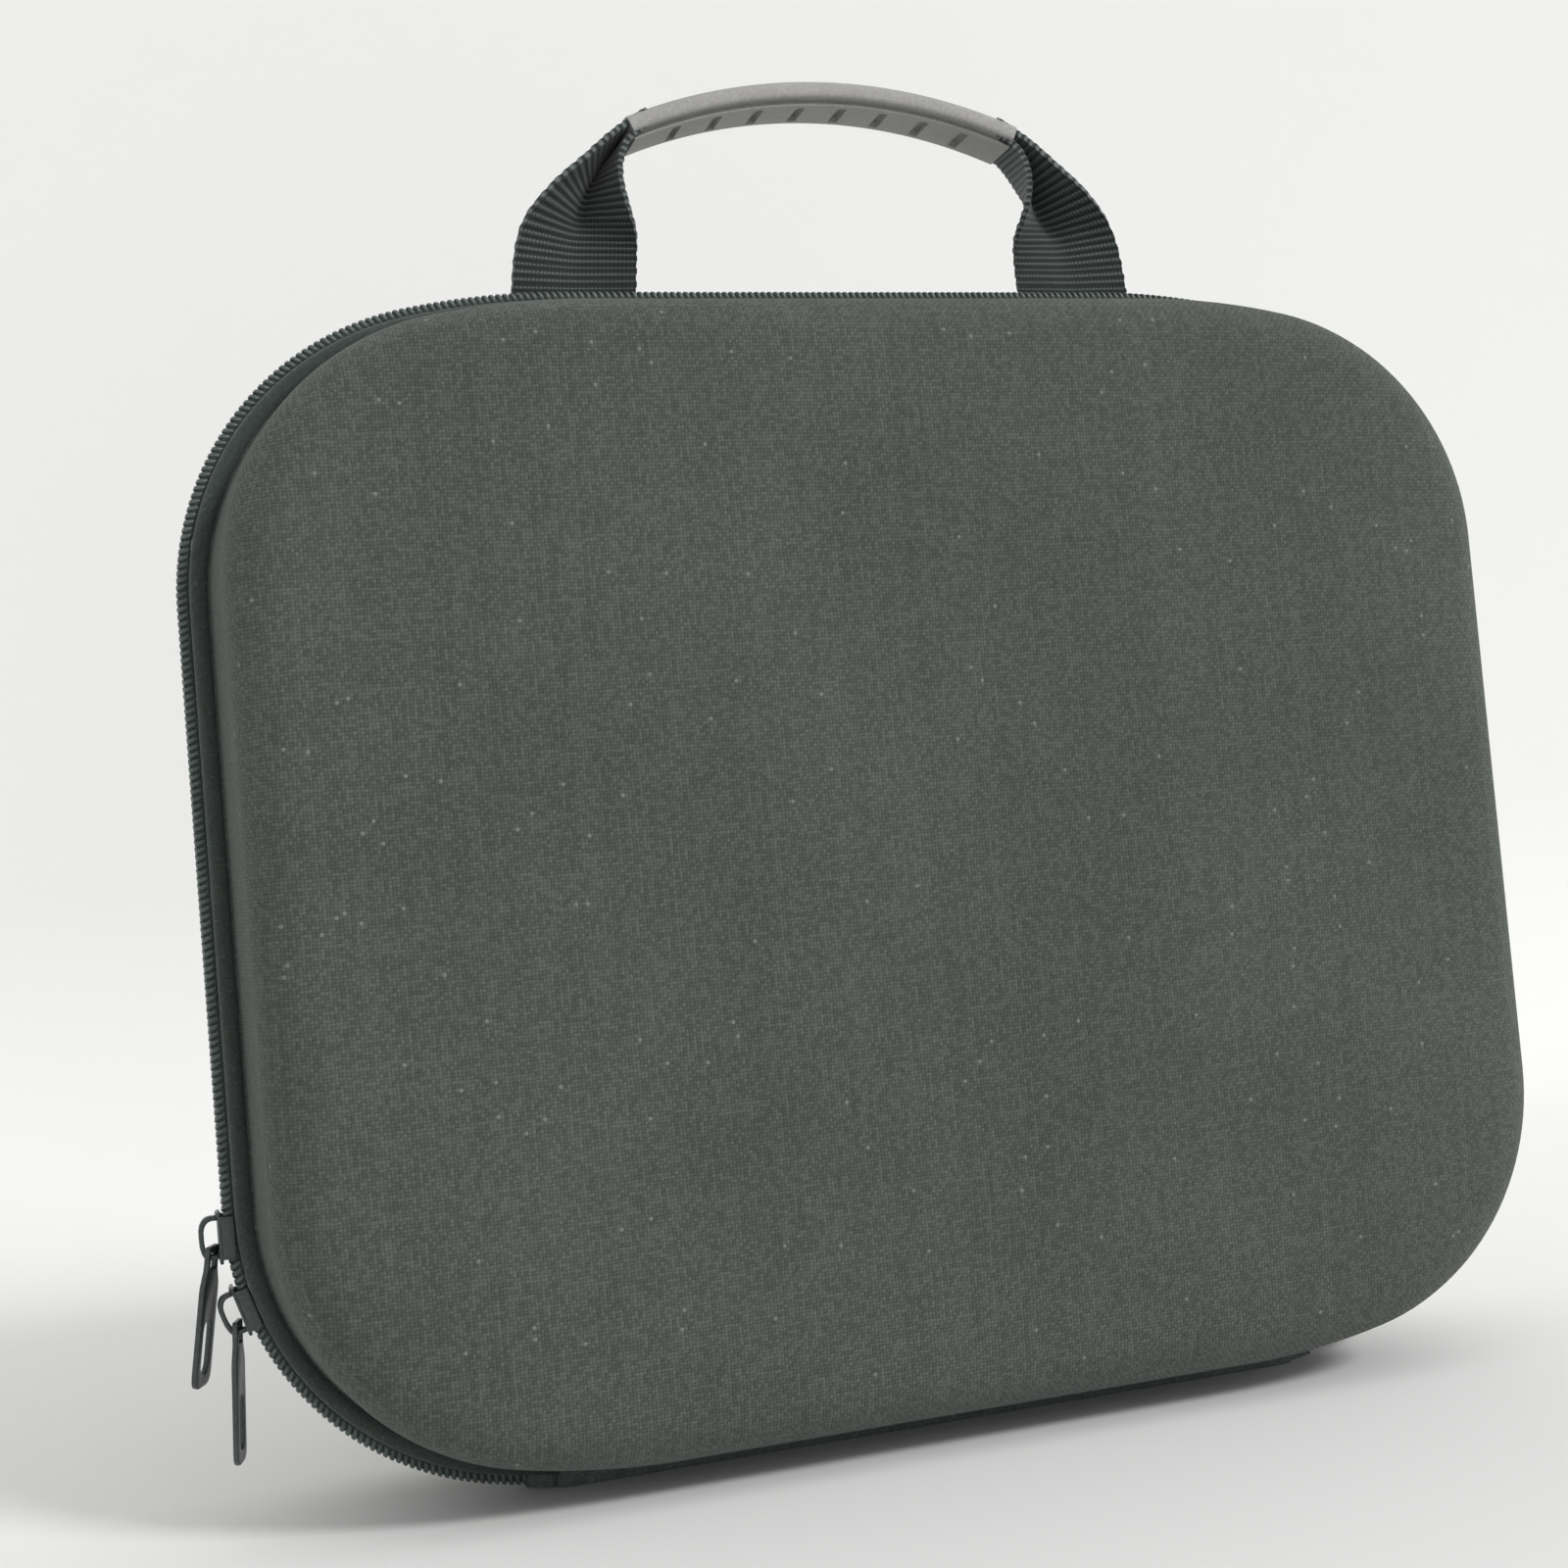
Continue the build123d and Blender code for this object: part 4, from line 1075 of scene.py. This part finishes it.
def sunLight(name, direction, softness, strength):
    clearSelection()
    bpy.ops.object.light_add(type="SUN", location=[2 * d for d in direction])
    lamp = bpy.context.active_object
    lamp.name = name
    lamp.data.angle = math.radians(softness)
    lamp.data.energy = strength
    lamp.rotation_euler = Vector(direction).to_track_quat("Z", "Y").to_euler()


def makeWorld():
    # even studio air for the object; the camera and bright metal see the same pale tone as the boards
    world = bpy.data.worlds.new("studioAir")
    world.use_nodes = True
    bpy.context.scene.world = world
    tree = world.node_tree
    soft = tree.nodes["Background"]
    soft.inputs["Color"].default_value = linear("#ffffff")
    # the studio is brightest above and to the right, and dim to the left
    where = addNode(tree, "TexCoord").outputs["Generated"]
    toBright = addNode(tree, "VectorMath", {0: where, 1: (0.58, -0.32, 0.75)}, operation="DOT_PRODUCT")
    level = addNode(tree, "MapRange", {"Value": toBright.outputs["Value"], "From Min": -0.7, "From Max": 0.9,
                                       "To Min": 0.12, "To Max": 0.84})
    tree.links.new(level.outputs[0], soft.inputs["Strength"])
    shown = addNode(tree, "Background", {"Color": linear("#efefee"), "Strength": 1.0})
    ray = addNode(tree, "LightPath").outputs
    mirrored = addNode(tree, "Math", {0: ray["Is Glossy Ray"], 1: ray["Is Transmission Ray"]},
                       operation="MAXIMUM")
    direct = addNode(tree, "Math", {0: ray["Is Camera Ray"], 1: mirrored}, operation="MAXIMUM")
    both = addNode(tree, "MixShader", {0: direct, 1: soft, 2: shown})
    tree.links.new(both.outputs[0], tree.nodes["World Output"].inputs["Surface"])


makeStage()
sunLight("keyLight", (0.46, -0.62, 0.54), 12.0, 1.45)
makeWorld()

bpy.ops.object.camera_add()
camera = bpy.context.active_object
camera.data.lens = 48.47
camera.data.sensor_width = 36.0
camera.data.clip_start = 0.01
camera.location = (-0.16390585, -0.44791342, 0.12228583)
camera.rotation_euler = [math.radians(a) for a in (92.605767, 4.944977, -17.250433)]
bpy.context.scene.camera = camera
bpy.context.scene.view_settings.view_transform = "Standard"
print("stage, light and camera done")
